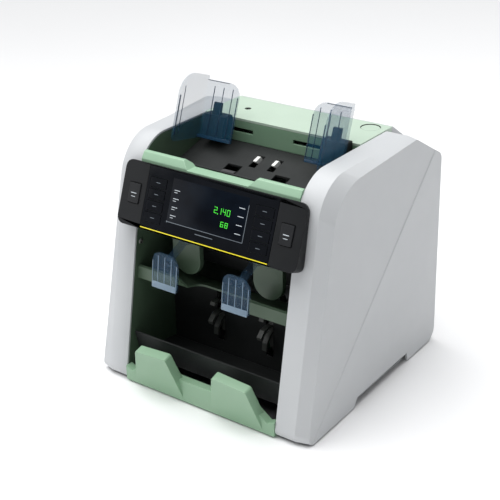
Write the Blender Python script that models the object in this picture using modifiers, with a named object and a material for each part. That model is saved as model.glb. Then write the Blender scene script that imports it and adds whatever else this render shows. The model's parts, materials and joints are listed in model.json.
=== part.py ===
"""Banknote counting machine with two pockets, built as an assembly of separate pieces.

Units are metres and +Z is up.  The machine stands on Z = 0 and faces -Y.  X = 0 is its
middle plane, and the origin is under the middle of its overall length and width.
Distances "back" are measured from the covers' front edge towards the rear.
"""
import math

import bmesh
import bpy
from mathutils import Euler, Matrix, Vector

for old in list(bpy.data.objects):
    bpy.data.objects.remove(old, do_unlink=True)

# ---------------------------------------------------------------- driving dimensions
GAP = 0.0003                 # standing gap between pieces that touch
RUN = 0.0005                 # clearance of a moving piece in its hole
WALL = 0.0025                # moulded plastic wall
SHEET = 0.0015               # steel sheet

POCKET_HALF = 0.0975         # half of the opening between the two side covers
STRIP_OUTER = POCKET_HALF + 0.0232   # where the flat front strip turns into the bevel band
HALF_WIDTH = STRIP_OUTER + 0.0152    # outer face of a side cover
COVER_TOP = 0.261            # top of the side covers
COVER_FOOT = 0.002           # bottom edge of the side covers
FRONT_LEAN = 0.19            # the front face leans back this much for each unit of height
REAR_LEAN = 0.0401           # the rear face leans forward this much for each unit of height
COVER_LENGTH = 0.2692        # length of a side cover at its foot
CHAMFER_TOP_BACK = COVER_LENGTH - 0.0632   # where the top turns down to the rear
CHAMFER_FOOT_Z = 0.229       # where that slope meets the rear face
FRONT_CURVE = 0.042          # radius from the front face to the top
NOTCH_FRONT = 0.093          # raised hand recess in the bottom edge
NOTCH_REAR = COVER_LENGTH - 0.0642
NOTCH_Z = 0.012
FOOT_RADIUS = 0.009
FOOT_SPREAD = POCKET_HALF - 0.0135
FOOT_FRONT_BACK = 0.028
FOOT_REAR_BACK = COVER_LENGTH - 0.0392

PAN_BOTTOM = 0.003
PAN_FRONT = 0.013
PAN_REAR = COVER_LENGTH - 0.0222
PAN_HALF = HALF_WIDTH - 0.0069

LOBE_LEAN = math.radians(15)     # stacker lobes lean forward
LOBE_HEIGHT = 0.0525             # slanted height of a lobe
LOBE_INNER_FOOT = 0.0175
LOBE_OUTER_FOOT = POCKET_HALF - 0.0139
LOBE_INNER_TOP = 0.030
LOBE_OUTER_TOP = POCKET_HALF - 0.0260
LOBE_DEPTH = 0.011
LOBE_FOOT_BACK = 0.0015
LOBE_FOOT_Z = 0.003
SILL_TOP = 0.027
SILL_END_TOP = 0.019

PANEL_HALF = POCKET_HALF + 0.0137    # control panel
PANEL_FOOT_BACK = 0.0177
PANEL_FOOT_Z = 0.1784
PANEL_TOP_BACK = 0.0417
PANEL_TOP_Z = 0.2411
PANEL_CORNER = 0.008
WINDOW_HALF = PANEL_HALF - 0.0317
WINDOW_THICK = 0.001
WINDOW_FOOT_V = 0.0012
WINDOW_TOP_V = 0.0658
LCD_LEFT = -0.0485
LCD_RIGHT = 0.050
LCD_FOOT_V = 0.0055
LCD_TOP_V = 0.0605
BIG_KEY_X = PANEL_HALF - 0.0172
BIG_KEY_WIDTH = 0.0145
BIG_KEY_HEIGHT = 0.0205
BIG_KEY_V = 0.034
BIG_KEY_THICK = 0.004
BIG_KEY_PROUD = 0.0012
BIG_KEY_TRAVEL = 0.0012
MENU_KEY_WIDTH = 0.021
MENU_KEY_HEIGHT = 0.0095
MENU_KEY_THICK = 0.003
MENU_KEY_PROUD = 0.0004
MENU_KEY_TRAVEL = 0.0004
MENU_KEY_PITCH = 0.012
MENU_KEY_FIRST_V = 0.014
MENU_KEY_COUNT = 4
MENU_KEY_X = WINDOW_HALF - 0.0140
BOARD_THICK = 0.0016

TOP_Z = 0.262                # top cover plate
TOP_THICK = 0.0025
TOP_FRONT = 0.1544
TOP_REAR = CHAMFER_TOP_BACK + 0.0115
TOP_SKIRT = 0.0020
TOP_SKIRT_FRONT = CHAMFER_TOP_BACK - 0.0070
TOP_SKIRT_FOOT_Z = 0.2510
BUTTON_X = POCKET_HALF - 0.0180      # round door release button
BUTTON_BACK = TOP_REAR - 0.0134
BUTTON_RADIUS = 0.0102
BUTTON_HEIGHT = 0.009
BUTTON_SUNK = 0.0006
SPY_HOLE_X = -0.0632
SPY_HOLE_BACK = 0.1855
SPY_HOLE_RADIUS = 0.0037

WALL_FOOT_Z = 0.2362         # hopper back wall
SLOT_Z = 0.2487
SLOT_HALF = 0.0022
SLOT_OUTER = POCKET_HALF - 0.0075
LEFT_SLOT_INNER = -0.0346
RIGHT_SLOT_INNER = 0.0168

FLOOR_VALLEY_BACK = 0.078    # hopper floor
FLOOR_VALLEY_Z = 0.215
FLOOR_LIP_Z = 0.242

LIP_FRONT = 0.0466           # bar at the front of the hopper
LIP_REAR = 0.0612
LIP_FOOT_Z = 0.2345
LIP_TOP_Z = 0.2485
LIP_RECESS_HALF = 0.0375
LIP_RECESS_Z = 0.2405

GUIDE_X = POCKET_HALF - 0.0075       # clear hopper guides
GUIDE_WING = 0.002
GUIDE_INNER = GUIDE_X - 0.0435
GUIDE_FOOT_BACK = 0.130
GUIDE_FOOT_Z = 0.241
GUIDE_TILT = math.radians(20)
GUIDE_HEIGHT = 0.0665
GUIDE_STEP = 0.004           # the back wing is lower than the side wing
GUIDE_REACH = 0.044
GUIDE_DROP = 0.007
GUIDE_TRAVEL = 0.035
GUIDE_FLANGE = 0.0045

SLIDER_TOP = 0.2645          # carriers of the hopper guides
SLIDER_FOOT = 0.2435
SLIDER_OUTER = GUIDE_X - 0.0015
SLIDER_INNER = GUIDE_X - 0.0295
LEFT_NECK_X = 0.0155 - GUIDE_X
RIGHT_NECK_X = GUIDE_X - 0.0260
NECK_HALF = 0.004
CARRIER_FRONT = 0.1576
CARRIER_DEPTH = 0.0085
CARRIER_HALF = 0.012
CARRIER_FOOT = 0.240
CARRIER_TOP = 0.2565
RAIL_BACK = 0.1618
RAIL_Z = 0.2435
RAIL_RADIUS = 0.0025
RACK_FRONT = 0.1690
RACK_DEPTH = 0.004
RACK_THICK = 0.003

MODULE = 0.001               # rack and pinion under the top cover
PINION_TEETH = 16
PINION_Z = 0.2435
ADDENDUM = 0.8
DEDENDUM = 1.15
BACKLASH = 0.00016
PRESSURE = math.radians(20)

FLOOR_SLOPE_BACK = 0.086     # divider and the pocket behind it
DIVIDER_TOP_BACK = 0.0200
DIVIDER_TOP_Z = 0.0535
DIVIDER_FOOT_BACK = 0.0270
DIVIDER_FOOT_Z = 0.0240
POCKET_FLOOR_Z = 0.0185
POCKET_WALL_BACK = 0.0865
TRAY_LIP_BACK = 0.0310       # upper tray
TRAY_LIP_Z = 0.1265
TRAY_DIP_BACK = 0.0480
TRAY_DIP_Z = 0.1100
TRAY_REAR_BACK = 0.0850
TRAY_REAR_Z = 0.1030
TRAY_NOTCH_HALF = 0.052
ROOF_Z = 0.1735
DROP_X = 0.052
DROP_RADIUS = 0.018
DROP_FOOT_Z = 0.118
DROP_BACK = 0.060

STOP_SHAFT_BACK = 0.0480     # clear note stops
STOP_SHAFT_Z = 0.1640
STOP_SHAFT_RADIUS = 0.0025
STOP_X = 0.0447
STOP_WIDTH = 0.033
STOP_HEIGHT = 0.0395
STOP_THICK = 0.0022
STOP_FOOT_BACK = 0.0105
STOP_FOOT_Z = 0.1205
STOP_TILT = math.radians(7.5)

WHEEL_BACK = 0.0990          # stacker wheels
WHEEL_Z = 0.0650
WHEEL_RADIUS = 0.032
WHEEL_HUB = 0.011
WHEEL_THICK = 0.006
WHEEL_X = 0.032
WHEEL_BLADES = 9
SHAFT_RADIUS = 0.003

PICKUP_BACK = 0.1040         # rollers
PICKUP_Z = 0.2123
PICKUP_RADIUS = 0.011
PICKUP_X = 0.030
PICKUP_WIDTH = 0.016
FEED_BACK = 0.0800
FEED_Z = 0.1935
FEED_RADIUS = 0.012
FEED_X = 0.026
FEED_WIDTH = 0.030
SENSOR_X = 0.0115
SENSOR_BACK = 0.1295
SENSOR_WIDTH = 0.004

MOTOR_BACK = 0.200           # drive
MOTOR_Z = 0.070
MOTOR_RADIUS = 0.018
MOTOR_LENGTH = 0.048
PULLEY_RADIUS = 0.009
PULLEY_WIDTH = 0.007
PULLEY_X = POCKET_HALF + 0.0105
BELT_WIDTH = 0.005
BELT_THICK = 0.0014

FRAME_X = POCKET_HALF + 0.0023       # steel side frames
DOOR_HINGE_BACK = COVER_LENGTH - 0.0072   # rear door
DOOR_HINGE_Z = 0.0710
DOOR_FOOT_Z = 0.0745
DOOR_KNEE_Z = 0.2350
DOOR_INSET = 0.0012
HINGE_BARREL = 0.0032
HINGE_PIN = 0.0013
HINGE_EAR = 0.0031
HINGE_HALF = 0.060
DOOR_FLANGE = 0.0020
DOOR_FLANGE_TOP_Z = 0.2510
DOOR_FLANGE_FOOT_Z = 0.2240
REAR_PANEL_TOP = 0.0660
INLET_X = -0.060
INLET_Z = 0.036
INLET_WIDTH = 0.027
INLET_HEIGHT = 0.020
SWITCH_X = -0.028
SWITCH_WIDTH = 0.012
SWITCH_HEIGHT = 0.018
ROCKER_TILT = math.radians(7)

ROUND_STEPS = 4              # segments in a rounded corner
SHAFT_SIDES = 16
ROLLER_SIDES = 28

# ---------------------------------------------------------------- collections, materials
parts = bpy.data.collections.new("banknote_counter")
cutters = bpy.data.collections.new("cutters")
bpy.context.scene.collection.children.link(parts)
bpy.context.scene.collection.children.link(cutters)


def material(name, colour, roughness, metallic=0.0, alpha=1.0):
    made = bpy.data.materials.new(name)
    made.use_nodes = True
    shader = made.node_tree.nodes["Principled BSDF"]
    shader.inputs["Base Color"].default_value = (*colour, 1.0)
    shader.inputs["Roughness"].default_value = roughness
    shader.inputs["Metallic"].default_value = metallic
    shader.inputs["Alpha"].default_value = alpha
    return made


WHITE = material("cover_white", (0.78, 0.80, 0.81), 0.42)
PALE = material("lip_green", (0.58, 0.76, 0.66), 0.45)
GREEN = material("pocket_green", (0.36, 0.52, 0.43), 0.50)
CHARCOAL = material("panel_charcoal", (0.045, 0.047, 0.050), 0.50)
GLOSS = material("window_black", (0.010, 0.012, 0.015), 0.10)
KEY = material("key_black", (0.030, 0.032, 0.035), 0.45)
BLACK = material("inner_black", (0.020, 0.021, 0.024), 0.55)
CLEAR = material("guide_clear", (0.60, 0.70, 0.80), 0.10, alpha=0.35)
STEEL = material("zinc_steel", (0.55, 0.56, 0.57), 0.35, 1.0)
BRIGHT = material("shaft_steel", (0.70, 0.71, 0.72), 0.22, 1.0)
RUBBER = material("roller_rubber", (0.030, 0.030, 0.032), 0.80)
SENSOR = material("sensor_white", (0.85, 0.86, 0.85), 0.40)
BOARD = material("circuit_board", (0.03, 0.20, 0.09), 0.40)
ACETAL = material("gear_acetal", (0.80, 0.79, 0.74), 0.45)


# ---------------------------------------------------------------- modelling helpers
def centred(name, mesh, matrix, collection):
    made = bpy.data.objects.new(name, mesh)
    made.matrix_world = matrix
    collection.objects.link(made)
    return made


def as_part(made, finish, smooth=False):
    made.data.materials.clear()
    made.data.materials.append(finish)
    if smooth:
        made.data.shade_smooth()
        made.data.set_sharp_from_angle(angle=math.radians(35))
    return made


def box(name, low, high, collection=cutters):
    low, high = Vector(low), Vector(high)
    mesh = bpy.data.meshes.new(name)
    form = bmesh.new()
    bmesh.ops.create_cube(form, size=1.0, matrix=Matrix.Diagonal((*(high - low), 1.0)))
    form.to_mesh(mesh)
    form.free()
    return centred(name, mesh, Matrix.Translation((low + high) / 2), collection)


AXIS_TURN = {
    "X": Euler((0.0, math.pi / 2, 0.0)).to_matrix().to_4x4(),
    "Y": Euler((-math.pi / 2, 0.0, 0.0)).to_matrix().to_4x4(),
    "Z": Matrix.Identity(4),
}


def rod(name, radius, start, end, centre, axis="X", sides=SHAFT_SIDES, collection=cutters):
    """A cylinder along an axis, from start to end on it, through centre."""
    mesh = bpy.data.meshes.new(name)
    form = bmesh.new()
    bmesh.ops.create_cone(form, cap_ends=True, segments=sides, radius1=radius,
                          radius2=radius, depth=end - start)
    form.to_mesh(mesh)
    form.free()
    along = {"X": Vector((1, 0, 0)), "Y": Vector((0, 1, 0)), "Z": Vector((0, 0, 1))}[axis]
    place = Vector(centre) * 1.0
    place -= along * place.dot(along)
    place += along * (start + end) / 2
    return centred(name, mesh, Matrix.Translation(place) @ AXIS_TURN[axis], collection)


PLANES = {
    "YZ": Matrix(((0, 0, 1), (1, 0, 0), (0, 1, 0))).to_4x4(),
    "XZ": Matrix(((1, 0, 0), (0, 0, -1), (0, 1, 0))).to_4x4(),
    "XY": Matrix.Identity(4),
}


def plate(name, outlines, start, end, plane, collection=cutters):
    """A flat outline (with any holes) filled and given thickness from start to end."""
    curve = bpy.data.curves.new(name, "CURVE")
    curve.dimensions = "2D"
    curve.fill_mode = "BOTH"
    curve.extrude = (end - start) / 2
    for outline in outlines:
        spline = curve.splines.new("POLY")
        spline.points.add(len(outline) - 1)
        for point, (across, up) in zip(spline.points, outline):
            point.co = (across, up, 0.0, 1.0)
        spline.use_cyclic_u = True
    middle = (start + end) / 2
    offset = {"YZ": (middle, 0, 0), "XZ": (0, middle, 0), "XY": (0, 0, middle)}[plane]
    drawn = centred(name + "_outline", curve, Matrix.Translation(offset) @ PLANES[plane], cutters)
    bpy.context.view_layer.update()
    seen = drawn.evaluated_get(bpy.context.evaluated_depsgraph_get())
    mesh = bpy.data.meshes.new_from_object(seen)
    mesh.name = name
    form = bmesh.new()
    form.from_mesh(mesh)
    bmesh.ops.remove_doubles(form, verts=form.verts, dist=1e-6)
    form.to_mesh(mesh)
    form.free()
    matrix = drawn.matrix_world.copy()
    bpy.data.objects.remove(drawn, do_unlink=True)
    return centred(name, mesh, matrix, collection)


def turned(name, profile, centre, collection=cutters, sides=ROLLER_SIDES):
    """A shape turned about an X axis through centre; profile is (x, radius), -X end first."""
    mesh = bpy.data.meshes.new(name)
    spots = [(radius, 0.0, x) for x, radius in reversed(profile)]
    mesh.from_pydata(spots, [(n, n + 1) for n in range(len(spots) - 1)], [])
    place = Matrix.Translation(Vector((0.0, centre[0], centre[1]))) @ AXIS_TURN["X"]
    made = centred(name, mesh, place, collection)
    screw = made.modifiers.new("turn", "SCREW")
    screw.axis = "Z"
    screw.steps = sides
    screw.render_steps = sides
    screw.use_merge_vertices = True
    screw.merge_threshold = 0.00001
    return made


def hide(made):
    """A cutter, or a piece merged into another, is drawn as wire and left out."""
    made.hide_render = True
    made.display_type = "WIRE"


def combine(target, other, operation):
    hide(other)
    step = target.modifiers.new(operation.lower() + "_" + other.name, "BOOLEAN")
    step.operation = operation
    step.solver = "EXACT"
    step.object = other


def cut(target, *others):
    for other in others:
        combine(target, other, "DIFFERENCE")


def join(target, *others):
    for other in others:
        combine(target, other, "UNION")


def rounded(corners, steps=ROUND_STEPS):
    """Corner list (a, b, radius) to an outline with arcs; every corner gives equal points."""
    outline = []
    count = len(corners)
    for index, (across, up, radius) in enumerate(corners):
        here = Vector((across, up))
        before = (Vector(corners[index - 1][:2]) - here).normalized()
        after = (Vector(corners[(index + 1) % count][:2]) - here).normalized()
        if radius <= 0.0:
            outline.append((across, up))
            continue
        half = before.angle(after) / 2
        reach = radius / math.tan(half)
        middle = here + (before + after).normalized() * (radius / math.sin(half))
        first = here + before * reach - middle
        last = here + after * reach - middle
        swing = first.angle_signed(last)
        for step in range(steps + 1):
            turn = Matrix.Rotation(-swing * step / steps, 2)
            outline.append(tuple(middle + turn @ first))
    return outline


def rectangle(left, foot, right, top, radius=0.0):
    corners = [(left, foot, radius), (right, foot, radius), (right, top, radius), (left, top, radius)]
    return rounded(corners)


def bent_sheet(path, thickness):
    """An outline that follows a path, with the sheet's thickness to the path's left."""
    left = []
    count = len(path)
    for index in range(count):
        here = Vector(path[index])
        runs = []
        if index > 0:
            runs.append((here - Vector(path[index - 1])).normalized())
        if index < count - 1:
            runs.append((Vector(path[index + 1]) - here).normalized())
        normals = [Vector((-run.y, run.x)) for run in runs]
        mean = sum(normals, Vector((0.0, 0.0))).normalized()
        left.append(tuple(here + mean * thickness / mean.dot(normals[0])))
    return list(path) + left[::-1]


# ---------------------------------------------------------------- frame of reference
def front_back(height, inset=0.0):
    """Distance back of the leaning front face at a height, moved in by inset."""
    return FRONT_LEAN * height + inset * math.hypot(1.0, FRONT_LEAN)


def rear_back(height, inset=0.0):
    return COVER_LENGTH - REAR_LEAN * (height - COVER_FOOT) - inset * math.hypot(1.0, REAR_LEAN)


def cover_corners(inset, foot):
    """Side view of a side cover (distance back, height, radius), moved in by inset."""
    top = COVER_TOP - inset
    slope = Vector((rear_back(CHAMFER_FOOT_Z) - CHAMFER_TOP_BACK, CHAMFER_FOOT_Z - COVER_TOP))
    shift = inset / slope.normalized().x
    top_back = CHAMFER_TOP_BACK + (inset - shift) * slope.x / -slope.y
    rear_z = CHAMFER_FOOT_Z - shift + inset * -slope.y / slope.x
    return [
        (front_back(foot, inset), foot, max(0.008 - inset, 0.001)),
        (rear_back(foot, inset), foot, max(0.016 - inset, 0.001)),
        (rear_back(rear_z, inset), rear_z, 0.012 - inset),
        (top_back, top, 0.008 - inset),
        (front_back(top, inset), top, FRONT_CURVE - inset),
    ]


lobe_reach = LOBE_HEIGHT * math.sin(LOBE_LEAN) - LOBE_FOOT_BACK
body_length = max(point[0] for point in rounded(cover_corners(0.0, COVER_FOOT)))
FRONT = lobe_reach - (body_length + lobe_reach) / 2


def back(distance):
    """Y of a distance back from the covers' front edge."""
    return FRONT + distance


def placed(outline):
    """A side-view outline in (distance back, height) moved to (Y, Z)."""
    return [(back(across), up) for across, up in outline]


# ---------------------------------------------------------------- side covers
def ring_loft(name, rings, collection=cutters):
    """A solid through matching rings, each (x, outline in Y and Z)."""
    mesh = bpy.data.meshes.new(name)
    form = bmesh.new()
    loops = []
    for x, outline in rings:
        loops.append([form.verts.new((x, y, z)) for y, z in outline])
    for near, far in zip(loops, loops[1:]):
        count = len(near)
        for index in range(count):
            after = (index + 1) % count
            form.faces.new((near[index], near[after], far[after]))
            form.faces.new((near[index], far[after], far[index]))
    form.faces.new(loops[0])
    form.faces.new(loops[-1])
    bmesh.ops.recalc_face_normals(form, faces=form.faces)
    form.to_mesh(mesh)
    form.free()
    return centred(name, mesh, Matrix.Identity(4), collection)


# The bevel band moves each corner of the side view in by (back, down) at the outer face:
# front foot, rear foot, rear knee, top rear, top front.
BAND = ((0.0042, 0.0), (-0.0022, 0.0), (-0.0030, -0.0010), (-0.0025, -0.0015), (0.0106, -0.0095))


def cover_form(name, side, inset, foot):
    flat = cover_corners(inset, foot)
    outer = [(a + da, b + db, r) for (a, b, r), (da, db) in zip(flat, BAND)]
    start = POCKET_HALF if inset == 0.0 else POCKET_HALF - 0.01
    rings = [
        (side * start, placed(rounded(flat, 6))),
        (side * (STRIP_OUTER - inset / 2), placed(rounded(flat, 6))),
        (side * (HALF_WIDTH - inset), placed(rounded(outer, 6))),
    ]
    return ring_loft(name, rings)


for side, hand in ((-1, "left"), (1, "right")):
    cover = cover_form("side_cover_" + hand, side, 0.0, COVER_FOOT)
    cutters.objects.unlink(cover)
    parts.objects.link(cover)
    hollow = cover_form("hollow_" + hand, side, WALL, -0.010)
    reach = sorted((side * (POCKET_HALF - 0.01), side * (HALF_WIDTH + 0.01)))
    slant = (NOTCH_Z - COVER_FOOT) / 3
    notch = plate("hand_notch_" + hand, [placed([
        (NOTCH_FRONT - slant, -0.01), (NOTCH_REAR, -0.01), (NOTCH_REAR, COVER_FOOT),
        (NOTCH_REAR - slant, NOTCH_Z), (NOTCH_FRONT + slant, NOTCH_Z),
        (NOTCH_FRONT - slant, COVER_FOOT)])], reach[0], reach[1], "YZ")
    cut(cover, hollow, notch)
    as_part(cover, WHITE, smooth=True)

# ---------------------------------------------------------------- base pan and feet
pan = plate("base_pan", [rectangle(-PAN_HALF, back(PAN_FRONT), PAN_HALF, back(PAN_REAR), 0.006)],
            PAN_BOTTOM, PAN_BOTTOM + SHEET, "XY", parts)
as_part(pan, STEEL)
pan_top = PAN_BOTTOM + SHEET

for side, hand in ((-1, "left"), (1, "right")):
    for distance, end in ((FOOT_FRONT_BACK, "front"), (FOOT_REAR_BACK, "rear")):
        foot = rod("foot_" + end + "_" + hand, FOOT_RADIUS, 0.0, PAN_BOTTOM - GAP,
                   (side * FOOT_SPREAD, back(distance), 0.0), "Z", ROLLER_SIDES, parts)
        as_part(foot, RUBBER, smooth=True)

# ---------------------------------------------------------------- steel side frames, cheeks
shaft_holes = (
    ("pickup", PICKUP_BACK, PICKUP_Z, SHAFT_RADIUS),
    ("feed", FEED_BACK, FEED_Z, SHAFT_RADIUS),
    ("stacker", WHEEL_BACK, WHEEL_Z, SHAFT_RADIUS),
)


def bore_shafts(target, label, start, end, clearance):
    for name, distance, height, radius in shaft_holes:
        hole = rod(label + "_" + name + "_bore", radius + clearance, start, end,
                   (0.0, back(distance), height))
        cut(target, hole)


for side, hand in ((-1, "left"), (1, "right")):
    foot = pan_top + GAP
    inner = WALL + 2 * GAP
    corners = cover_corners(inner, foot)
    near = [(corners[0][0], foot, 0.004), (DOOR_HINGE_BACK - 0.016, foot, 0.004),
            (DOOR_HINGE_BACK - 0.016, CHAMFER_FOOT_Z - 0.006, 0.01),
            (corners[3][0] - 0.002, corners[3][1], 0.006), corners[4]]
    ends = sorted((side * POCKET_HALF, side * (POCKET_HALF + 0.002)))
    cheek = plate("cheek_" + hand, [placed(rounded(near, 6))], ends[0], ends[1], "YZ", parts)
    bore_shafts(cheek, "cheek_" + hand, ends[0] - 0.001, ends[1] + 0.001, 2 * RUN)
    as_part(cheek, GREEN)
    ends = sorted((side * FRAME_X, side * (FRAME_X + SHEET)))
    lean_in = 0.006
    frame_corners = [(corners[0][0] + lean_in, foot, 0.004), near[1],
                     (near[2][0], near[2][1] - lean_in, 0.01),
                     (near[3][0], near[3][1] - lean_in, 0.006),
                     (front_back(near[4][1], inner + lean_in), near[4][1] - lean_in, FRONT_CURVE - lean_in)]
    frame = plate("side_frame_" + hand, [placed(rounded(frame_corners, 6))],
                  ends[0], ends[1], "YZ", parts)
    bore_shafts(frame, "frame_" + hand, ends[0] - 0.001, ends[1] + 0.001, RUN / 2)
    if side > 0:
        motor_hole = rod("motor_shaft_bore", SHAFT_RADIUS + RUN, ends[0] - 0.001, ends[1] + 0.001,
                         (0.0, back(MOTOR_BACK), MOTOR_Z))
        cut(frame, motor_hole)
        cheek_hole = rod("motor_cheek_bore", MOTOR_RADIUS + RUN, ends[0] - 0.01, FRAME_X - GAP,
                         (0.0, back(MOTOR_BACK), MOTOR_Z), sides=ROLLER_SIDES)
        cut(cheek, cheek_hole)
    as_part(frame, STEEL)

# ---------------------------------------------------------------- front plate with two lobes
inside = POCKET_HALF - GAP
sill = [(-inside, COVER_FOOT), (inside, COVER_FOOT), (inside, SILL_END_TOP),
        (LOBE_OUTER_FOOT + 0.005, SILL_END_TOP - 0.004), (LOBE_OUTER_TOP, SILL_TOP),
        (-LOBE_OUTER_TOP, SILL_TOP), (-LOBE_OUTER_FOOT - 0.005, SILL_END_TOP - 0.004),
        (-inside, SILL_END_TOP)]
front_plate = plate("stacker_front", [sill], back(LOBE_FOOT_BACK - 0.0007),
                    back(LOBE_DEPTH - 0.0005), "XZ", parts)
for side, hand in ((-1, "left"), (1, "right")):
    lobe_side = [(side * LOBE_INNER_FOOT, 0.0, 0.0), (side * LOBE_OUTER_FOOT, 0.0, 0.0),
                 (side * LOBE_OUTER_TOP, LOBE_HEIGHT - 0.0035, 0.003),
                 (side * LOBE_INNER_TOP, LOBE_HEIGHT, 0.003)]
    lobe = plate("lobe_" + hand, [rounded(lobe_side)], 0.0, LOBE_DEPTH, "XZ")
    lean = Matrix.Rotation(LOBE_LEAN, 4, "X")
    lobe.matrix_world = (Matrix.Translation((0.0, back(LOBE_FOOT_BACK), LOBE_FOOT_Z))
                         @ lean @ lobe.matrix_world)
    join(front_plate, lobe)
as_part(front_plate, PALE)

# ---------------------------------------------------------------- pocket divider and floor
divider_path = [(POCKET_WALL_BACK - 0.0030, POCKET_FLOOR_Z), (DIVIDER_FOOT_BACK, DIVIDER_FOOT_Z),
                (DIVIDER_TOP_BACK, DIVIDER_TOP_Z)]
divider = plate("pocket_divider", [placed(bent_sheet(divider_path, 0.0020))],
                -inside + RUN, inside - RUN, "YZ", parts)
as_part(divider, BLACK)

wall_foot = pan_top + GAP
wheel_rise = math.sqrt(WHEEL_RADIUS ** 2 - (WHEEL_BACK - POCKET_WALL_BACK) ** 2)
pocket_wall = plate("pocket_back_wall",
                    [placed(bent_sheet([(POCKET_WALL_BACK, TRAY_REAR_Z - 0.0035),
                                        (POCKET_WALL_BACK, wall_foot)], 0.0022))],
                    -inside, inside, "YZ", parts)
for side, hand in ((-1, "left"), (1, "right")):
    slot = box("wheel_slot_" + hand,
               (side * WHEEL_X - WHEEL_THICK / 2 - 0.0015, back(POCKET_WALL_BACK - 0.01),
                WHEEL_Z - WHEEL_RADIUS - 0.002),
               (side * WHEEL_X + WHEEL_THICK / 2 + 0.0015, back(POCKET_WALL_BACK + 0.01),
                WHEEL_Z + wheel_rise + 0.0015))
    cut(pocket_wall, slot)
as_part(pocket_wall, BLACK)

# ---------------------------------------------------------------- upper tray, roof, deflector
tray_path = [(TRAY_REAR_BACK, TRAY_REAR_Z), (TRAY_DIP_BACK, TRAY_DIP_Z),
             (TRAY_LIP_BACK + 0.003, TRAY_LIP_Z), (TRAY_LIP_BACK, TRAY_LIP_Z - 0.001),
             (TRAY_LIP_BACK - 0.001, TRAY_LIP_Z - 0.014)]
tray = plate("reject_tray", [placed(bent_sheet(tray_path, 0.0022))], -inside, inside, "YZ", parts)
tray_gap = plate("tray_gap", [rounded([(-TRAY_NOTCH_HALF, back(0.010), 0.0),
                                      (TRAY_NOTCH_HALF, back(0.010), 0.0),
                                      (TRAY_NOTCH_HALF - 0.012, back(0.064), 0.010),
                                      (-TRAY_NOTCH_HALF + 0.012, back(0.064), 0.010)])],
                 0.080, 0.140, "XY")
cut(tray, tray_gap)
as_part(tray, GREEN)

roof_front = PANEL_FOOT_BACK + 0.018
roof = plate("pocket_roof", [placed(bent_sheet([(roof_front, ROOF_Z), (0.094, ROOF_Z - 0.004),
                                               (0.1010, TRAY_REAR_Z + 0.012)], -0.0020))],
             -inside, inside, "YZ", parts)
as_part(roof, BLACK)

deflector_outline = [(-inside + 0.001, ROOF_Z - 0.018), (-inside + 0.001, ROOF_Z - 0.0065),
                     (inside - 0.001, ROOF_Z - 0.0065), (inside - 0.001, ROOF_Z - 0.018)]
deflector = plate("note_deflector", [deflector_outline], back(DROP_BACK), back(DROP_BACK + 0.004),
                  "XZ", parts)
for side, hand in ((-1, "left"), (1, "right")):
    drop = [(side * DROP_X - DROP_RADIUS, ROOF_Z - 0.010, 0.0),
            (side * DROP_X - DROP_RADIUS, DROP_FOOT_Z, DROP_RADIUS * 0.98),
            (side * DROP_X + DROP_RADIUS, DROP_FOOT_Z, DROP_RADIUS * 0.98),
            (side * DROP_X + DROP_RADIUS, ROOF_Z - 0.010, 0.0)]
    join(deflector, plate("drop_" + hand, [rounded(drop, 7)], back(DROP_BACK - 0.003),
                          back(DROP_BACK + 0.0035), "XZ"))
as_part(deflector, GREEN)

# ---------------------------------------------------------------- note stops on their shaft
stop_axis = (back(STOP_SHAFT_BACK), STOP_SHAFT_Z)
stop_shaft = rod("stop_shaft", STOP_SHAFT_RADIUS, -inside, inside, (0.0, *stop_axis),
                 collection=parts)
as_part(stop_shaft, BRIGHT, smooth=True)
for side, hand in ((-1, "left"), (1, "right")):
    half = STOP_WIDTH / 2
    inner, outer = sorted((side * (STOP_X - half), side * (STOP_X + half)))
    face = rounded([(inner, 0.0, 0.004), (outer, 0.0, 0.004), (outer, STOP_HEIGHT - 0.002, 0.012),
                    (inner, STOP_HEIGHT, 0.009)])
    paddle = plate("note_stop_" + hand, [face], 0.0, STOP_THICK, "XZ", parts)
    tilt = Matrix.Translation((0.0, back(STOP_FOOT_BACK), STOP_FOOT_Z)) @ Matrix.Rotation(
        -STOP_TILT, 4, "X")
    paddle.matrix_world = tilt @ paddle.matrix_world
    hub_ends = sorted((side * (STOP_X - 0.005), side * (STOP_X + 0.005)))
    arm_path = [(STOP_SHAFT_BACK, STOP_SHAFT_Z + 0.0015), (STOP_FOOT_BACK + 0.0055, STOP_FOOT_Z + 0.030)]
    arm = plate("stop_arm_" + hand, [placed(bent_sheet(arm_path, 0.005))],
                side * STOP_X - 0.0035, side * STOP_X + 0.0035, "YZ")
    hub = rod("stop_hub_" + hand, 0.0055, hub_ends[0], hub_ends[1], (0.0, *stop_axis))
    bore = rod("stop_bore_" + hand, STOP_SHAFT_RADIUS + GAP, hub_ends[0] - 0.002,
               hub_ends[1] + 0.002, (0.0, *stop_axis))
    join(paddle, arm, hub)
    cut(paddle, bore)
    as_part(paddle, CLEAR)


# ---------------------------------------------------------------- rollers and stacker wheels
def pulley_profile():
    """Flanged pulley for the flat belt, as (x, radius) from the -X side."""
    left, right = PULLEY_X - PULLEY_WIDTH / 2, PULLEY_X + PULLEY_WIDTH / 2
    belt_left, belt_right = PULLEY_X - BELT_WIDTH / 2 - GAP, PULLEY_X + BELT_WIDTH / 2 + GAP
    flange = PULLEY_RADIUS + 0.0015
    return [(left, SHAFT_RADIUS), (left, flange), (belt_left, flange), (belt_left, PULLEY_RADIUS),
            (belt_right, PULLEY_RADIUS), (belt_right, flange), (right, flange), (right, 0.0)]


frame_outer = FRAME_X + SHEET + 0.001


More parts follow.
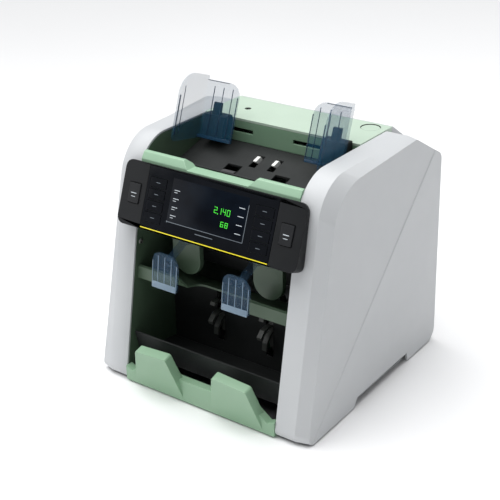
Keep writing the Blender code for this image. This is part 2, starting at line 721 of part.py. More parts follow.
def roller(name, distance, height, radius, offset, width, right_end):
    """A shaft with two rubber tyres, turned as one piece; right_end is its (x, radius) list."""
    inner, outer = offset - width / 2, offset + width / 2
    profile = [(-frame_outer, 0.0), (-frame_outer, SHAFT_RADIUS),
               (-outer, SHAFT_RADIUS), (-outer, radius), (-inner, radius), (-inner, SHAFT_RADIUS),
               (inner, SHAFT_RADIUS), (inner, radius), (outer, radius), (outer, SHAFT_RADIUS)]
    made = turned(name, profile + right_end, (back(distance), height), parts)
    return as_part(made, RUBBER, smooth=True)


roller("pickup_roller", PICKUP_BACK, PICKUP_Z, PICKUP_RADIUS, PICKUP_X, PICKUP_WIDTH,
       [(frame_outer, SHAFT_RADIUS), (frame_outer, 0.0)])
roller("feed_roller", FEED_BACK, FEED_Z, FEED_RADIUS, FEED_X, FEED_WIDTH, pulley_profile())

wheel_axis = (back(WHEEL_BACK), WHEEL_Z)
stacker_shaft = rod("stacker_shaft", SHAFT_RADIUS, -frame_outer, frame_outer, (0.0, *wheel_axis),
                    collection=parts)
as_part(stacker_shaft, BRIGHT, smooth=True)


def wheel_outline():
    """Hub with soft curved blades, each swept back against the turning direction."""
    outline = []
    pitch = 2 * math.pi / WHEEL_BLADES
    front = ((0.0, 0.0), (0.35, 0.10), (0.70, 0.30), (1.0, 0.62))
    rear = ((0.97, 0.80), (0.66, 0.50), (0.33, 0.34), (0.0, 0.30))
    for blade in range(WHEEL_BLADES):
        for share, sweep in front + rear:
            radius = WHEEL_HUB + share * (WHEEL_RADIUS - WHEEL_HUB)
            angle = (blade + sweep) * pitch
            outline.append((wheel_axis[0] + radius * math.cos(angle),
                            wheel_axis[1] + radius * math.sin(angle)))
    return outline


bore_outline = [(wheel_axis[0] + (SHAFT_RADIUS + GAP) * math.cos(2 * math.pi * n / SHAFT_SIDES),
                 wheel_axis[1] + (SHAFT_RADIUS + GAP) * math.sin(2 * math.pi * n / SHAFT_SIDES))
                for n in range(SHAFT_SIDES)]
for side, hand in ((-1, "left"), (1, "right")):
    wheel = plate("stacker_wheel_" + hand, [wheel_outline(), bore_outline],
                  side * WHEEL_X - WHEEL_THICK / 2, side * WHEEL_X + WHEEL_THICK / 2, "YZ", parts)
    as_part(wheel, RUBBER)

# ---------------------------------------------------------------- motor, pulleys and belt
motor_axis = (back(MOTOR_BACK), MOTOR_Z)
motor = rod("main_motor", MOTOR_RADIUS, FRAME_X - GAP - MOTOR_LENGTH, FRAME_X - GAP,
            (0.0, *motor_axis), sides=ROLLER_SIDES, collection=parts)
motor_bore = rod("motor_bore", SHAFT_RADIUS + RUN, FRAME_X - 0.012, FRAME_X + 0.002,
                 (0.0, *motor_axis))
cut(motor, motor_bore)
as_part(motor, STEEL, smooth=True)

motor_pulley = turned("motor_pulley", [(FRAME_X - 0.010, 0.0), (FRAME_X - 0.010, SHAFT_RADIUS)]
                      + pulley_profile(), motor_axis, parts)
as_part(motor_pulley, BRIGHT, smooth=True)

feed_axis = (back(FEED_BACK), FEED_Z)


def belt_loop(radius):
    """A loop round both pulleys, which have equal radii."""
    start, end = Vector(motor_axis), Vector(feed_axis)
    heading = math.atan2(end.y - start.y, end.x - start.x)
    loop = []
    for middle, first in ((end, heading - math.pi / 2), (start, heading + math.pi / 2)):
        for step in range(13):
            angle = first + math.pi * step / 12
            loop.append((middle.x + radius * math.cos(angle), middle.y + radius * math.sin(angle)))
    return loop


belt_inner = PULLEY_RADIUS + GAP
belt = plate("drive_belt", [belt_loop(belt_inner + BELT_THICK), belt_loop(belt_inner)],
             PULLEY_X - BELT_WIDTH / 2, PULLEY_X + BELT_WIDTH / 2, "YZ", parts)
as_part(belt, RUBBER)

# ---------------------------------------------------------------- hopper floor, wall and lip
floor_slope = (WALL_FOOT_Z - FLOOR_VALLEY_Z) / (TOP_FRONT - FLOOR_VALLEY_BACK)
floor_lip_back = LIP_REAR + WALL + GAP
floor_path = [(TOP_FRONT - GAP, WALL_FOOT_Z), (FLOOR_VALLEY_BACK, FLOOR_VALLEY_Z),
              (floor_lip_back + 0.003, FLOOR_VALLEY_Z + 0.008), (floor_lip_back, FLOOR_LIP_Z)]
hopper_floor = plate("hopper_floor", [placed(bent_sheet(floor_path, WALL))],
                     -inside, inside, "YZ", parts)
for side, hand in ((-1, "left"), (1, "right")):
    roller_slot = box("roller_slot_" + hand,
                      (side * PICKUP_X - PICKUP_WIDTH / 2 - 0.001,
                       back(PICKUP_BACK - PICKUP_RADIUS - 0.002), FLOOR_VALLEY_Z - 0.010),
                      (side * PICKUP_X + PICKUP_WIDTH / 2 + 0.001,
                       back(PICKUP_BACK + PICKUP_RADIUS + 0.002), WALL_FOOT_Z + 0.010))
    lever_slot = box("lever_slot_" + hand,
                     (side * SENSOR_X - SENSOR_WIDTH / 2 - 0.002, back(SENSOR_BACK - 0.010),
                      FLOOR_VALLEY_Z - 0.010),
                     (side * SENSOR_X + SENSOR_WIDTH / 2 + 0.002, back(SENSOR_BACK + 0.010),
                      WALL_FOOT_Z + 0.010))
    cut(hopper_floor, roller_slot, lever_slot)
as_part(hopper_floor, CHARCOAL)

sensor_floor_z = WALL_FOOT_Z - (TOP_FRONT - SENSOR_BACK) * floor_slope
for side, hand in ((-1, "left"), (1, "right")):
    lever_side = [(SENSOR_BACK + 0.0075, sensor_floor_z - 0.0065, 0.0012),
                  (SENSOR_BACK + 0.0085, sensor_floor_z - 0.0020, 0.0012),
                  (SENSOR_BACK + 0.0050, sensor_floor_z + 0.0045, 0.0020),
                  (SENSOR_BACK - 0.0055, sensor_floor_z + 0.0015, 0.0010),
                  (SENSOR_BACK + 0.0020, sensor_floor_z - 0.0040, 0.0012)]
    lever = plate("note_sensor_" + hand, [placed(rounded(lever_side))],
                  side * SENSOR_X - SENSOR_WIDTH / 2, side * SENSOR_X + SENSOR_WIDTH / 2, "YZ", parts)
    as_part(lever, SENSOR)

slots = [rectangle(-SLOT_OUTER, SLOT_Z - SLOT_HALF, LEFT_SLOT_INNER, SLOT_Z + SLOT_HALF),
         rectangle(RIGHT_SLOT_INNER, SLOT_Z - SLOT_HALF, SLOT_OUTER, SLOT_Z + SLOT_HALF)]
hopper_wall = plate("hopper_wall", [rectangle(-inside, WALL_FOOT_Z, inside, TOP_Z - TOP_THICK - GAP)]
                    + slots, back(TOP_FRONT), back(TOP_FRONT + WALL), "XZ", parts)
as_part(hopper_wall, GREEN)

lip_side = [(LIP_FRONT, LIP_FOOT_Z, 0.0005), (LIP_REAR, LIP_FOOT_Z, 0.0005),
            (LIP_REAR, LIP_TOP_Z - 0.005, 0.002), (LIP_REAR - 0.005, LIP_TOP_Z, 0.002),
            (LIP_FRONT + 0.0055, LIP_TOP_Z, 0.0025), (LIP_FRONT + 0.0008, LIP_TOP_Z - 0.007, 0.002)]
lip = plate("front_lip", [placed(rounded(lip_side))], -inside, inside, "YZ", parts)
recess = plate("lip_recess", [[(-LIP_RECESS_HALF, LIP_RECESS_Z), (LIP_RECESS_HALF, LIP_RECESS_Z),
                              (LIP_RECESS_HALF + 0.010, LIP_TOP_Z + 0.002),
                              (-LIP_RECESS_HALF - 0.010, LIP_TOP_Z + 0.002)]],
               back(LIP_FRONT - 0.01), back(LIP_REAR + 0.01), "XZ")
cut(lip, recess)
as_part(lip, PALE)

# ---------------------------------------------------------------- top cover and release button
button_centre = (BUTTON_X, back(BUTTON_BACK))


def circle(centre, radius, sides=ROLLER_SIDES):
    return [(centre[0] + radius * math.cos(2 * math.pi * n / sides),
             centre[1] + radius * math.sin(2 * math.pi * n / sides)) for n in range(sides)]


top_cover = plate("top_cover", [rectangle(-inside, back(TOP_FRONT), inside, back(TOP_REAR)),
                                circle(button_centre, BUTTON_RADIUS + RUN),
                                circle((SPY_HOLE_X, back(SPY_HOLE_BACK)), SPY_HOLE_RADIUS)],
                  TOP_Z - TOP_THICK, TOP_Z, "XY", parts)
for side, hand in ((-1, "left"), (1, "right")):
    low, high = sorted((side * (inside - TOP_SKIRT), side * inside))
    skirt = box("top_skirt_" + hand, (low, back(TOP_SKIRT_FRONT), TOP_SKIRT_FOOT_Z),
                (high, back(TOP_REAR), TOP_Z - TOP_THICK / 2))
    join(top_cover, skirt)
as_part(top_cover, PALE)
release = rod("release_button", BUTTON_RADIUS, TOP_Z - BUTTON_SUNK - BUTTON_HEIGHT,
              TOP_Z - BUTTON_SUNK, (*button_centre, 0.0), "Z", ROLLER_SIDES, parts)
as_part(release, PALE, smooth=True)

# ---------------------------------------------------------------- clear hopper guides
guide_place = (Matrix.Translation((0.0, back(GUIDE_FOOT_BACK), GUIDE_FOOT_Z))
               @ Matrix.Rotation(-GUIDE_TILT, 4, "X"))


def tilted(made):
    made.matrix_world = guide_place @ made.matrix_world
    return made


for side, hand in ((-1, "left"), (1, "right")):
    inner, outer = sorted((side * GUIDE_INNER, side * (GUIDE_X + GUIDE_WING / 2)))
    corner_low = 0.014 if side < 0 else 0.002
    corner_high = 0.002 if side < 0 else 0.014
    back_wing = rounded([(inner, 0.0, 0.001), (outer, 0.0, 0.001),
                         (outer, GUIDE_HEIGHT - GUIDE_STEP, corner_low),
                         (inner, GUIDE_HEIGHT - GUIDE_STEP, corner_high)])
    guide = tilted(plate("hopper_guide_" + hand, [back_wing], 0.0, GUIDE_WING, "XZ", parts))
    side_wing = rounded([(0.0015, 0.0, 0.0), (0.0015, GUIDE_HEIGHT, 0.001),
                         (-GUIDE_REACH, GUIDE_HEIGHT, 0.024), (-GUIDE_REACH, -GUIDE_DROP, 0.004)], 6)
    wing = tilted(plate("side_wing_" + hand, [side_wing], side * GUIDE_X - GUIDE_WING / 2,
                        side * GUIDE_X + GUIDE_WING / 2, "YZ"))
    rail = tilted(box("guide_flange_" + hand, (inner + 0.001, -0.0012, 0.0002),
                      (outer - 0.001, GUIDE_WING - 0.0002, GUIDE_FLANGE)))
    join(guide, wing, rail)
    as_part(guide, CLEAR)

# ---------------------------------------------------------------- sliders, racks and pinion
pinion_radius = MODULE * PINION_TEETH / 2
base_radius = pinion_radius * math.cos(PRESSURE)


def involute(angle):
    return math.tan(angle) - angle


def pinion_outline():
    """Involute teeth with the backlash taken off both flanks; a gap points up and down."""
    tip = pinion_radius + ADDENDUM * MODULE
    root = pinion_radius - DEDENDUM * MODULE
    half_pitch = math.pi / 2 / PINION_TEETH - BACKLASH / pinion_radius + involute(PRESSURE)
    outline = []
    flank = [base_radius + (tip - base_radius) * n / 4 for n in range(5)]
    spans = [(r, half_pitch - involute(math.acos(base_radius / r))) for r in flank]
    first = math.pi / 2 + math.pi / PINION_TEETH
    for tooth in range(PINION_TEETH):
        middle = first + 2 * math.pi * tooth / PINION_TEETH
        side_points = [(root, half_pitch)] + spans
        for radius, half in side_points:
            outline.append((radius * math.cos(middle - half), PINION_Z + radius * math.sin(middle - half)))
        for radius, half in reversed(side_points):
            outline.append((radius * math.cos(middle + half), PINION_Z + radius * math.sin(middle + half)))
    return outline


def rack_gaps(start, end, side):
    """The gaps between rack teeth from start to end; side +1 is the rack above the pinion."""
    pitch = math.pi * MODULE
    line = PINION_Z + side * pinion_radius
    half_gap = pitch / 4 + BACKLASH
    clear = ADDENDUM + 0.4
    root_half = half_gap - DEDENDUM * MODULE * math.tan(PRESSURE)
    mouth_half = half_gap + clear * MODULE * math.tan(PRESSURE)
    root, mouth = line + side * DEDENDUM * MODULE, line - side * clear * MODULE
    first = math.ceil(start / pitch)
    last = math.floor(end / pitch - 0.5)
    gaps = []
    for number in range(first, last + 1):
        middle = (number + 0.5) * pitch
        gaps.append([(middle - root_half, root), (middle + root_half, root),
                     (middle + mouth_half, mouth), (middle - mouth_half, mouth)])
    return gaps


pinion = plate("rack_pinion", [pinion_outline(), circle((0.0, PINION_Z), 0.0020, SHAFT_SIDES)],
               back(RACK_FRONT), back(RACK_FRONT + RACK_DEPTH), "XZ", parts)
as_part(pinion, ACETAL)

for side, hand, neck_x in ((-1, "left", LEFT_NECK_X), (1, "right", RIGHT_NECK_X)):
    low, high = sorted((side * SLIDER_OUTER, side * SLIDER_INNER))
    rise = math.tan(GUIDE_TILT)
    wing_back = GUIDE_FOOT_BACK + GUIDE_WING / math.cos(GUIDE_TILT) + GAP * 2

    def block_front(height):
        return wing_back + (height - GUIDE_FOOT_Z) * rise

    block = [(block_front(SLIDER_FOOT), SLIDER_FOOT, 0.0), (TOP_FRONT - RUN, SLIDER_FOOT, 0.0),
             (TOP_FRONT - RUN, SLIDER_TOP, 0.001), (block_front(SLIDER_TOP), SLIDER_TOP, 0.0)]
    slider = plate("guide_slider_" + hand, [placed(rounded(block))], low, high, "YZ", parts)
    tab_x = side * (SLIDER_OUTER + SLIDER_INNER) / 2
    tab = [(block_front(SLIDER_TOP) + 0.001, SLIDER_TOP - 0.002, 0.0),
           (block_front(SLIDER_TOP) + 0.005, SLIDER_TOP - 0.002, 0.0),
           (block_front(SLIDER_TOP + 0.014) + 0.0045, SLIDER_TOP + 0.0125, 0.0012),
           (block_front(SLIDER_TOP + 0.014) + 0.0015, SLIDER_TOP + 0.0125, 0.0012)]
    finger = plate("finger_tab_" + hand, [placed(rounded(tab))], tab_x - 0.005, tab_x + 0.005, "YZ")
    neck = box("slider_neck_" + hand,
               (neck_x - NECK_HALF, back(TOP_FRONT - 0.002), SLOT_Z - SLOT_HALF + RUN),
               (neck_x + NECK_HALF, back(CARRIER_FRONT + 0.001), SLOT_Z + SLOT_HALF - RUN))
    carrier = box("carrier_" + hand,
                  (neck_x - CARRIER_HALF, back(CARRIER_FRONT), CARRIER_FOOT),
                  (neck_x + CARRIER_HALF, back(CARRIER_FRONT + CARRIER_DEPTH), CARRIER_TOP))
    rail_bore = rod("rail_bore_" + hand, RAIL_RADIUS + GAP, neck_x - 0.02, neck_x + 0.02,
                    (0.0, back(RAIL_BACK), RAIL_Z))
    rack_side = -side
    inner_end = -side * 0.008
    bar_left, bar_right = sorted((neck_x, inner_end))
    spine_z = PINION_Z + rack_side * (pinion_radius + DEDENDUM * MODULE + RACK_THICK)
    tip_z = PINION_Z + rack_side * (pinion_radius - ADDENDUM * MODULE)
    bar_low, bar_high = sorted((spine_z, tip_z))
    bar = box("rack_bar_" + hand, (bar_left, back(RACK_FRONT), bar_low),
              (bar_right, back(RACK_FRONT + RACK_DEPTH), bar_high))
    gaps = plate("rack_gaps_" + hand, rack_gaps(bar_left, bar_right, rack_side),
                 back(RACK_FRONT - 0.001), back(RACK_FRONT + RACK_DEPTH + 0.001), "XZ")
    web = box("rack_web_" + hand,
              (neck_x - 0.005, back(CARRIER_FRONT + CARRIER_DEPTH - 0.001),
               min(bar_low, CARRIER_TOP) + 0.0003),
              (neck_x + 0.005, back(RACK_FRONT - RUN), max(bar_high, CARRIER_FOOT + 0.004) - 0.0003))
    link = box("rack_link_" + hand, (neck_x - 0.005, back(RACK_FRONT - 0.001), spine_z - 0.0010),
               (neck_x + 0.005, back(RACK_FRONT + RACK_DEPTH - 0.001), spine_z + 0.0008))
    join(slider, finger, neck, carrier, web, bar, link)
    cut(slider, rail_bore, gaps)
    as_part(slider, GREEN)

guide_rail = rod("guide_rail", RAIL_RADIUS, -inside, inside, (0.0, back(RAIL_BACK), RAIL_Z),
                 collection=parts)
as_part(guide_rail, BRIGHT, smooth=True)

# ---------------------------------------------------------------- control panel
panel_slope = Vector((PANEL_TOP_BACK - PANEL_FOOT_BACK, PANEL_TOP_Z - PANEL_FOOT_Z))
panel_height = panel_slope.length
panel_tilt = math.atan2(panel_slope.x, panel_slope.y)
# Panel space: X across, local Z up the slope from the foot, local Y into the machine.
panel_place = (Matrix.Translation((0.0, back(PANEL_FOOT_BACK), PANEL_FOOT_Z))
               @ Matrix.Rotation(-panel_tilt, 4, "X"))


def on_panel(made):
    made.matrix_world = panel_place @ made.matrix_world
    return made


face = rectangle(-PANEL_HALF, 0.0, PANEL_HALF, panel_height, PANEL_CORNER)
housing = on_panel(plate("panel_housing", [face], 0.0, 0.030, "XZ", parts))
behind = plate("panel_behind", [placed([
    (front_back(0.150, -2 * GAP), 0.150), (front_back(0.150) + 0.060, 0.150),
    (front_back(0.270) + 0.060, 0.270), (front_back(0.270, -2 * GAP), 0.270)])], -0.2, 0.2, "YZ")
cut(housing, behind)
window_cut = on_panel(box("window_recess", (-WINDOW_HALF - GAP, -0.005, WINDOW_FOOT_V - GAP),
                          (WINDOW_HALF + GAP, WINDOW_THICK + GAP, WINDOW_TOP_V + GAP)))
board_cut = on_panel(box("board_opening", (-WINDOW_HALF + 0.0030, -0.005, WINDOW_FOOT_V + 0.0030),
                         (WINDOW_HALF - 0.0030, 0.040, WINDOW_TOP_V - 0.0035)))
cut(housing, window_cut, board_cut)
for side, hand in ((-1, "left"), (1, "right")):
    half_x = BIG_KEY_WIDTH / 2
    half_v = BIG_KEY_HEIGHT / 2
    deep = BIG_KEY_THICK - BIG_KEY_PROUD + BIG_KEY_TRAVEL + GAP
    well = on_panel(box("key_well_" + hand,
                        (side * BIG_KEY_X - half_x - GAP, -0.005, BIG_KEY_V - half_v - GAP),
                        (side * BIG_KEY_X + half_x + GAP, deep, BIG_KEY_V + half_v + GAP)))
    cut(housing, well)
    name = {"left": "restart_key", "right": "start_key"}[hand]
    outline = rectangle(side * BIG_KEY_X - half_x, BIG_KEY_V - half_v, side * BIG_KEY_X + half_x,
                        BIG_KEY_V + half_v, 0.0012)
    key = on_panel(plate(name, [outline], -BIG_KEY_PROUD, BIG_KEY_THICK - BIG_KEY_PROUD, "XZ", parts))
    as_part(key, KEY)
as_part(housing, CHARCOAL)

window_holes = []
for side, hand in ((-1, "left"), (1, "right")):
    for number in range(MENU_KEY_COUNT):
        height_v = MENU_KEY_FIRST_V + number * MENU_KEY_PITCH
        half_x, half_v = MENU_KEY_WIDTH / 2, MENU_KEY_HEIGHT / 2
        middle = side * MENU_KEY_X
        window_holes.append(rectangle(middle - half_x - GAP, height_v - half_v - GAP,
                                      middle + half_x + GAP, height_v + half_v + GAP))
        outline = rectangle(middle - half_x, height_v - half_v, middle + half_x, height_v + half_v)
        key = on_panel(plate("menu_key_" + hand + "_" + str(number + 1), [outline],
                             -MENU_KEY_PROUD, MENU_KEY_THICK - MENU_KEY_PROUD, "XZ", parts))
        as_part(key, KEY)
window = on_panel(plate("panel_window", [rectangle(-WINDOW_HALF, WINDOW_FOOT_V, WINDOW_HALF,
                                                   WINDOW_TOP_V)] + window_holes,
                        0.0, WINDOW_THICK, "XZ", parts))
as_part(window, GLOSS)

board_front = MENU_KEY_THICK - MENU_KEY_PROUD + MENU_KEY_TRAVEL + 2 * GAP
board = on_panel(box("display_board", (-WINDOW_HALF + 0.004, board_front, WINDOW_FOOT_V + 0.004),
                     (WINDOW_HALF - 0.004, board_front + BOARD_THICK, WINDOW_TOP_V - 0.006), parts))
lcd = on_panel(box("lcd_block", (LCD_LEFT, WINDOW_THICK + GAP, LCD_FOOT_V + 0.001),
                   (LCD_RIGHT, board_front + BOARD_THICK / 2, LCD_TOP_V - 0.002)))
join(board, lcd)
as_part(board, BOARD)

# ---------------------------------------------------------------- rear door and rear panel
door_run = Vector((rear_back(DOOR_KNEE_Z, DOOR_INSET) - TOP_REAR, TOP_Z - DOOR_KNEE_Z))
door_path = [(TOP_REAR + 2 * GAP + WALL * door_run.y / door_run.length, TOP_Z - GAP),
             (rear_back(DOOR_KNEE_Z, DOOR_INSET), DOOR_KNEE_Z),
             (rear_back(DOOR_FOOT_Z, DOOR_INSET), DOOR_FOOT_Z)]
door = plate("rear_door", [placed(bent_sheet(door_path, -WALL))], -inside + RUN, inside - RUN,
             "YZ", parts)
hinge_axis = (back(DOOR_HINGE_BACK), DOOR_HINGE_Z)
ear_inner = HINGE_HALF + RUN
ear_outer = ear_inner + 0.008
barrel = rod("door_barrel", HINGE_BARREL, -HINGE_HALF, HINGE_HALF, (0.0, *hinge_axis))
web_box = box("door_web", (-HINGE_HALF, hinge_axis[0] - 0.0008, DOOR_HINGE_Z),
              (HINGE_HALF, back(rear_back(DOOR_FOOT_Z, DOOR_INSET)) - 0.0004, DOOR_FOOT_Z + 0.004))
hinge_pin = rod("door_hinge_pin", HINGE_PIN, -ear_outer - 0.001, ear_outer + 0.001, (0.0, *hinge_axis))
join(door, barrel, web_box, hinge_pin)
door_middle = bent_sheet(door_path, -WALL / 2)[:2:-1]
flange_foot = (rear_back(DOOR_FLANGE_FOOT_Z, WALL), DOOR_FLANGE_FOOT_Z)
for side, hand in ((-1, "left"), (1, "right")):
    low, high = sorted((side * (inside - RUN - DOOR_FLANGE), side * (inside - RUN)))
    flange = plate("door_flange_" + hand, [placed([door_middle[0], door_middle[1], flange_foot,
                                                   (door_middle[0][0], DOOR_FLANGE_TOP_Z)])],
                   low, high, "YZ")
    join(door, flange)
as_part(door, WHITE)

rear_foot = pan_top + GAP
rear_path = [(rear_back(REAR_PANEL_TOP, DOOR_INSET), REAR_PANEL_TOP),
             (rear_back(0.022, DOOR_INSET), 0.022), (PAN_REAR + 0.004, rear_foot)]
rear_panel = plate("rear_panel", [placed(bent_sheet(rear_path, -WALL))], -inside, inside, "YZ", parts)
for side, hand in ((-1, "left"), (1, "right")):
    low, high = sorted((side * ear_inner, side * ear_outer))
    ear = box("hinge_ear_" + hand, (low, hinge_axis[0] - HINGE_EAR, REAR_PANEL_TOP - 0.006),
              (high, hinge_axis[0] + HINGE_EAR - GAP, DOOR_HINGE_Z))
    ear_round = rod("hinge_ear_round_" + hand, HINGE_EAR, low, high, (0.0, *hinge_axis))
    join(rear_panel, ear, ear_round)
    ear_bore = rod("ear_bore_" + hand, HINGE_PIN + GAP, low - 0.002, high + 0.002, (0.0, *hinge_axis))
    cut(rear_panel, ear_bore)
inlet_half, inlet_rise = INLET_WIDTH / 2, INLET_HEIGHT / 2
switch_half, switch_rise = SWITCH_WIDTH / 2, SWITCH_HEIGHT / 2
rear_y = back(rear_back(INLET_Z, DOOR_INSET))
inlet_cut = box("inlet_cut", (INLET_X - inlet_half - GAP, rear_y - 0.02, INLET_Z - inlet_rise - GAP),
                (INLET_X + inlet_half + GAP, rear_y + 0.02, INLET_Z + inlet_rise + GAP))
switch_cut = box("switch_cut", (SWITCH_X - switch_half - RUN, rear_y - 0.02, INLET_Z - switch_rise - RUN),
                 (SWITCH_X + switch_half + RUN, rear_y + 0.02, INLET_Z + switch_rise + RUN))
cut(rear_panel, inlet_cut, switch_cut)
as_part(rear_panel, WHITE)

inlet = box("power_inlet", (INLET_X - inlet_half, rear_y - 0.022, INLET_Z - inlet_rise),
            (INLET_X + inlet_half, rear_y + 0.0005, INLET_Z + inlet_rise), parts)
socket = box("inlet_socket", (INLET_X - inlet_half + 0.0022, rear_y - 0.0175, INLET_Z - inlet_rise + 0.0022),
             (INLET_X + inlet_half - 0.0022, rear_y + 0.01, INLET_Z + inlet_rise - 0.0022))
cut(inlet, socket)
as_part(inlet, BLACK)

rocker_side = rounded([(-0.010, -switch_rise + 0.002, 0.001), (-0.0006, -switch_rise + 0.0004, 0.0008),
                       (-0.0018, 0.0, 0.0), (-0.0006, switch_rise - 0.0004, 0.0008),
                       (-0.010, switch_rise - 0.002, 0.001)])
rocker = plate("power_switch", [rocker_side], SWITCH_X - switch_half, SWITCH_X + switch_half,
               "YZ", parts)
rocker.matrix_world = (Matrix.Translation((0.0, rear_y - 0.0055, INLET_Z))
                       @ Matrix.Rotation(ROCKER_TILT, 4, "X")
                       @ Matrix.Translation((0.0, 0.0055, 0.0)) @ rocker.matrix_world)
as_part(rocker, BLACK)

# ---------------------------------------------------------------- electronics on the base pan
supply = box("power_supply", (-0.092, back(0.140), pan_top + GAP), (-0.030, back(0.225), 0.042), parts)
as_part(supply, STEEL)
main_board = box("main_board", (-0.020, back(0.128), 0.010), (0.090, back(0.238), 0.010 + BOARD_THICK),
                 parts)
for index, (left, near, wide, deep, tall) in enumerate((
        (-0.012, 0.150, 0.018, 0.018, 0.004), (0.020, 0.136, 0.012, 0.030, 0.009),
        (0.050, 0.220, 0.034, 0.010, 0.010), (-0.010, 0.222, 0.024, 0.009, 0.010),
        (0.068, 0.140, 0.014, 0.014, 0.016))):
    block = box("board_block_" + str(index), (left, back(near), 0.0105),
                (left + wide, back(near + deep), 0.010 + BOARD_THICK + tall))
    join(main_board, block)
for index, (across, near) in enumerate(((-0.015, 0.132), (0.085, 0.132), (-0.015, 0.234), (0.085, 0.234))):
    post = rod("board_post_" + str(index), 0.0025, pan_top + GAP, 0.0105, (across, back(near), 0.0),
               "Z", 12)
    join(main_board, post)
as_part(main_board, BOARD)

for kept in parts.objects:
    kept.hide_render = False
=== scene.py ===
"""A desktop banknote counting machine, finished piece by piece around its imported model."""
import json
import math

import bpy
from mathutils import Matrix, Vector
from mathutils.bvhtree import BVHTree

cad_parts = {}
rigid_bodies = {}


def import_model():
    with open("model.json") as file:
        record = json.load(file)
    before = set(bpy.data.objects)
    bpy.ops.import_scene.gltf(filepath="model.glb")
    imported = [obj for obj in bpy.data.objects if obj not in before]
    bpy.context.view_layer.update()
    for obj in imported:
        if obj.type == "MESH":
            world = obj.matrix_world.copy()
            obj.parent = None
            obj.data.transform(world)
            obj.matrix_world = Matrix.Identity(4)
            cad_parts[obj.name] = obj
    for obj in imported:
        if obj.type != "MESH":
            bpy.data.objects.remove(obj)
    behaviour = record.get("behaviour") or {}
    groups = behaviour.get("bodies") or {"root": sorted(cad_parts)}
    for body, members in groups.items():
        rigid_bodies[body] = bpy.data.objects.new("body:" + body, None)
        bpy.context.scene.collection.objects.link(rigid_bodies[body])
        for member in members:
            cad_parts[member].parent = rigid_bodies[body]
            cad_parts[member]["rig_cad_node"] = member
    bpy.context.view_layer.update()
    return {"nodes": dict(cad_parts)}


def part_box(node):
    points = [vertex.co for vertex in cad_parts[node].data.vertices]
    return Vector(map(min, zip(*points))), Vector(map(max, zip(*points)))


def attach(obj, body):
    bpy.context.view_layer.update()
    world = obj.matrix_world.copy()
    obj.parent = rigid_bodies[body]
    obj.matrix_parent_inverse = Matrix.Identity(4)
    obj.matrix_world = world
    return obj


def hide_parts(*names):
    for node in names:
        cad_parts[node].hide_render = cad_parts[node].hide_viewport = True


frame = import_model()
nodes = frame["nodes"]

# ---- Camera, desk top and light
# The machine stands on a pale, slightly glossy desk top and is seen from its front right
# corner, a little from above, under an even sky, a ceiling light and a window each side.
EYE = (0.6366, -0.8848, 0.6494)
turn, rise, roll = math.radians(36.67), math.radians(25.41), math.radians(-1.3)
away = Vector((math.sin(turn) * math.cos(rise), -math.cos(turn) * math.cos(rise), math.sin(rise)))
level = Vector((math.cos(turn), math.sin(turn), 0.0))
upward = away.cross(level)
across = level * math.cos(roll) + upward * math.sin(roll)
upright = upward * math.cos(roll) - level * math.sin(roll)
bpy.ops.object.camera_add(location=EYE)
camera = bpy.context.object
camera.matrix_world = Matrix((
    (across.x, upright.x, away.x, EYE[0]),
    (across.y, upright.y, away.y, EYE[1]),
    (across.z, upright.z, away.z, EYE[2]),
    (0.0, 0.0, 0.0, 1.0)))
camera.data.lens = 81.37
camera.data.sensor_width = 36.0
camera.data.clip_start = 0.05
bpy.context.scene.camera = camera
bpy.context.scene.view_settings.view_transform = "Standard"

bpy.ops.mesh.primitive_plane_add(size=8.0, location=(0.0, 0.0, 0.0))
desk = bpy.context.object
desk.name = "desk_top"

world = bpy.data.worlds.new("room")
bpy.context.scene.world = world
world.use_nodes = True
world.node_tree.nodes["Background"].inputs["Color"].default_value = (0.96, 0.98, 1.0, 1.0)
world.node_tree.nodes["Background"].inputs["Strength"].default_value = 0.29

bpy.ops.object.light_add(type="SUN", location=(-0.5, -0.5, 2.0), rotation=(0.14, -0.22, 0.0))
sky_light = bpy.context.object
sky_light.name = "sky_light"
sky_light.data.energy = 2.5
sky_light.data.angle = math.radians(70.0)

for name, place, size, watts in (
        ("ceiling_light", (-0.1, 0.15, 1.5), 1.5, 9.0),
        ("window_left", (-1.7, -1.1, 0.55), 1.2, 6.0),
        ("window_right", (0.95, 1.25, 0.35), 0.8, 1.6)):
    bpy.ops.object.light_add(type="AREA", location=place)
    lamp = bpy.context.object
    lamp.name = name
    lamp.data.size = size
    lamp.data.energy = watts
    lamp.rotation_euler = (Vector(place) - Vector((0.0, 0.0, 0.12))).to_track_quat("Z", "Y").to_euler()


def finish_material(name, colour, roughness, metallic=0.0):
    """A material, its node tree and its Principled shader."""
    made = bpy.data.materials.new(name)
    made.use_nodes = True
    shader = made.node_tree.nodes["Principled BSDF"]
    shader.inputs["Base Color"].default_value = (*colour, 1.0)
    shader.inputs["Roughness"].default_value = roughness
    shader.inputs["Metallic"].default_value = metallic
    return made, made.node_tree, shader


def noise(tree, scale, detail=3.0, stretch=(1.0, 1.0, 1.0)):
    """Noise in the piece's own space, stretched along an axis where asked."""
    place = tree.nodes.new("ShaderNodeTexCoord")
    mapping = tree.nodes.new("ShaderNodeMapping")
    mapping.inputs["Scale"].default_value = stretch
    made = tree.nodes.new("ShaderNodeTexNoise")
    made.inputs["Scale"].default_value = scale
    made.inputs["Detail"].default_value = detail
    tree.links.new(place.outputs["Object"], mapping.inputs["Vector"])
    tree.links.new(mapping.outputs["Vector"], made.inputs["Vector"])
    return made.outputs["Fac"]


def spread(tree, value, low, high):
    """A noise value spread evenly between two numbers."""
    made = tree.nodes.new("ShaderNodeMapRange")
    made.inputs["From Min"].default_value = 0.35
    made.inputs["From Max"].default_value = 0.65
    made.inputs["To Min"].default_value = low
    made.inputs["To Max"].default_value = high
    tree.links.new(value, made.inputs["Value"])
    return made.outputs["Result"]


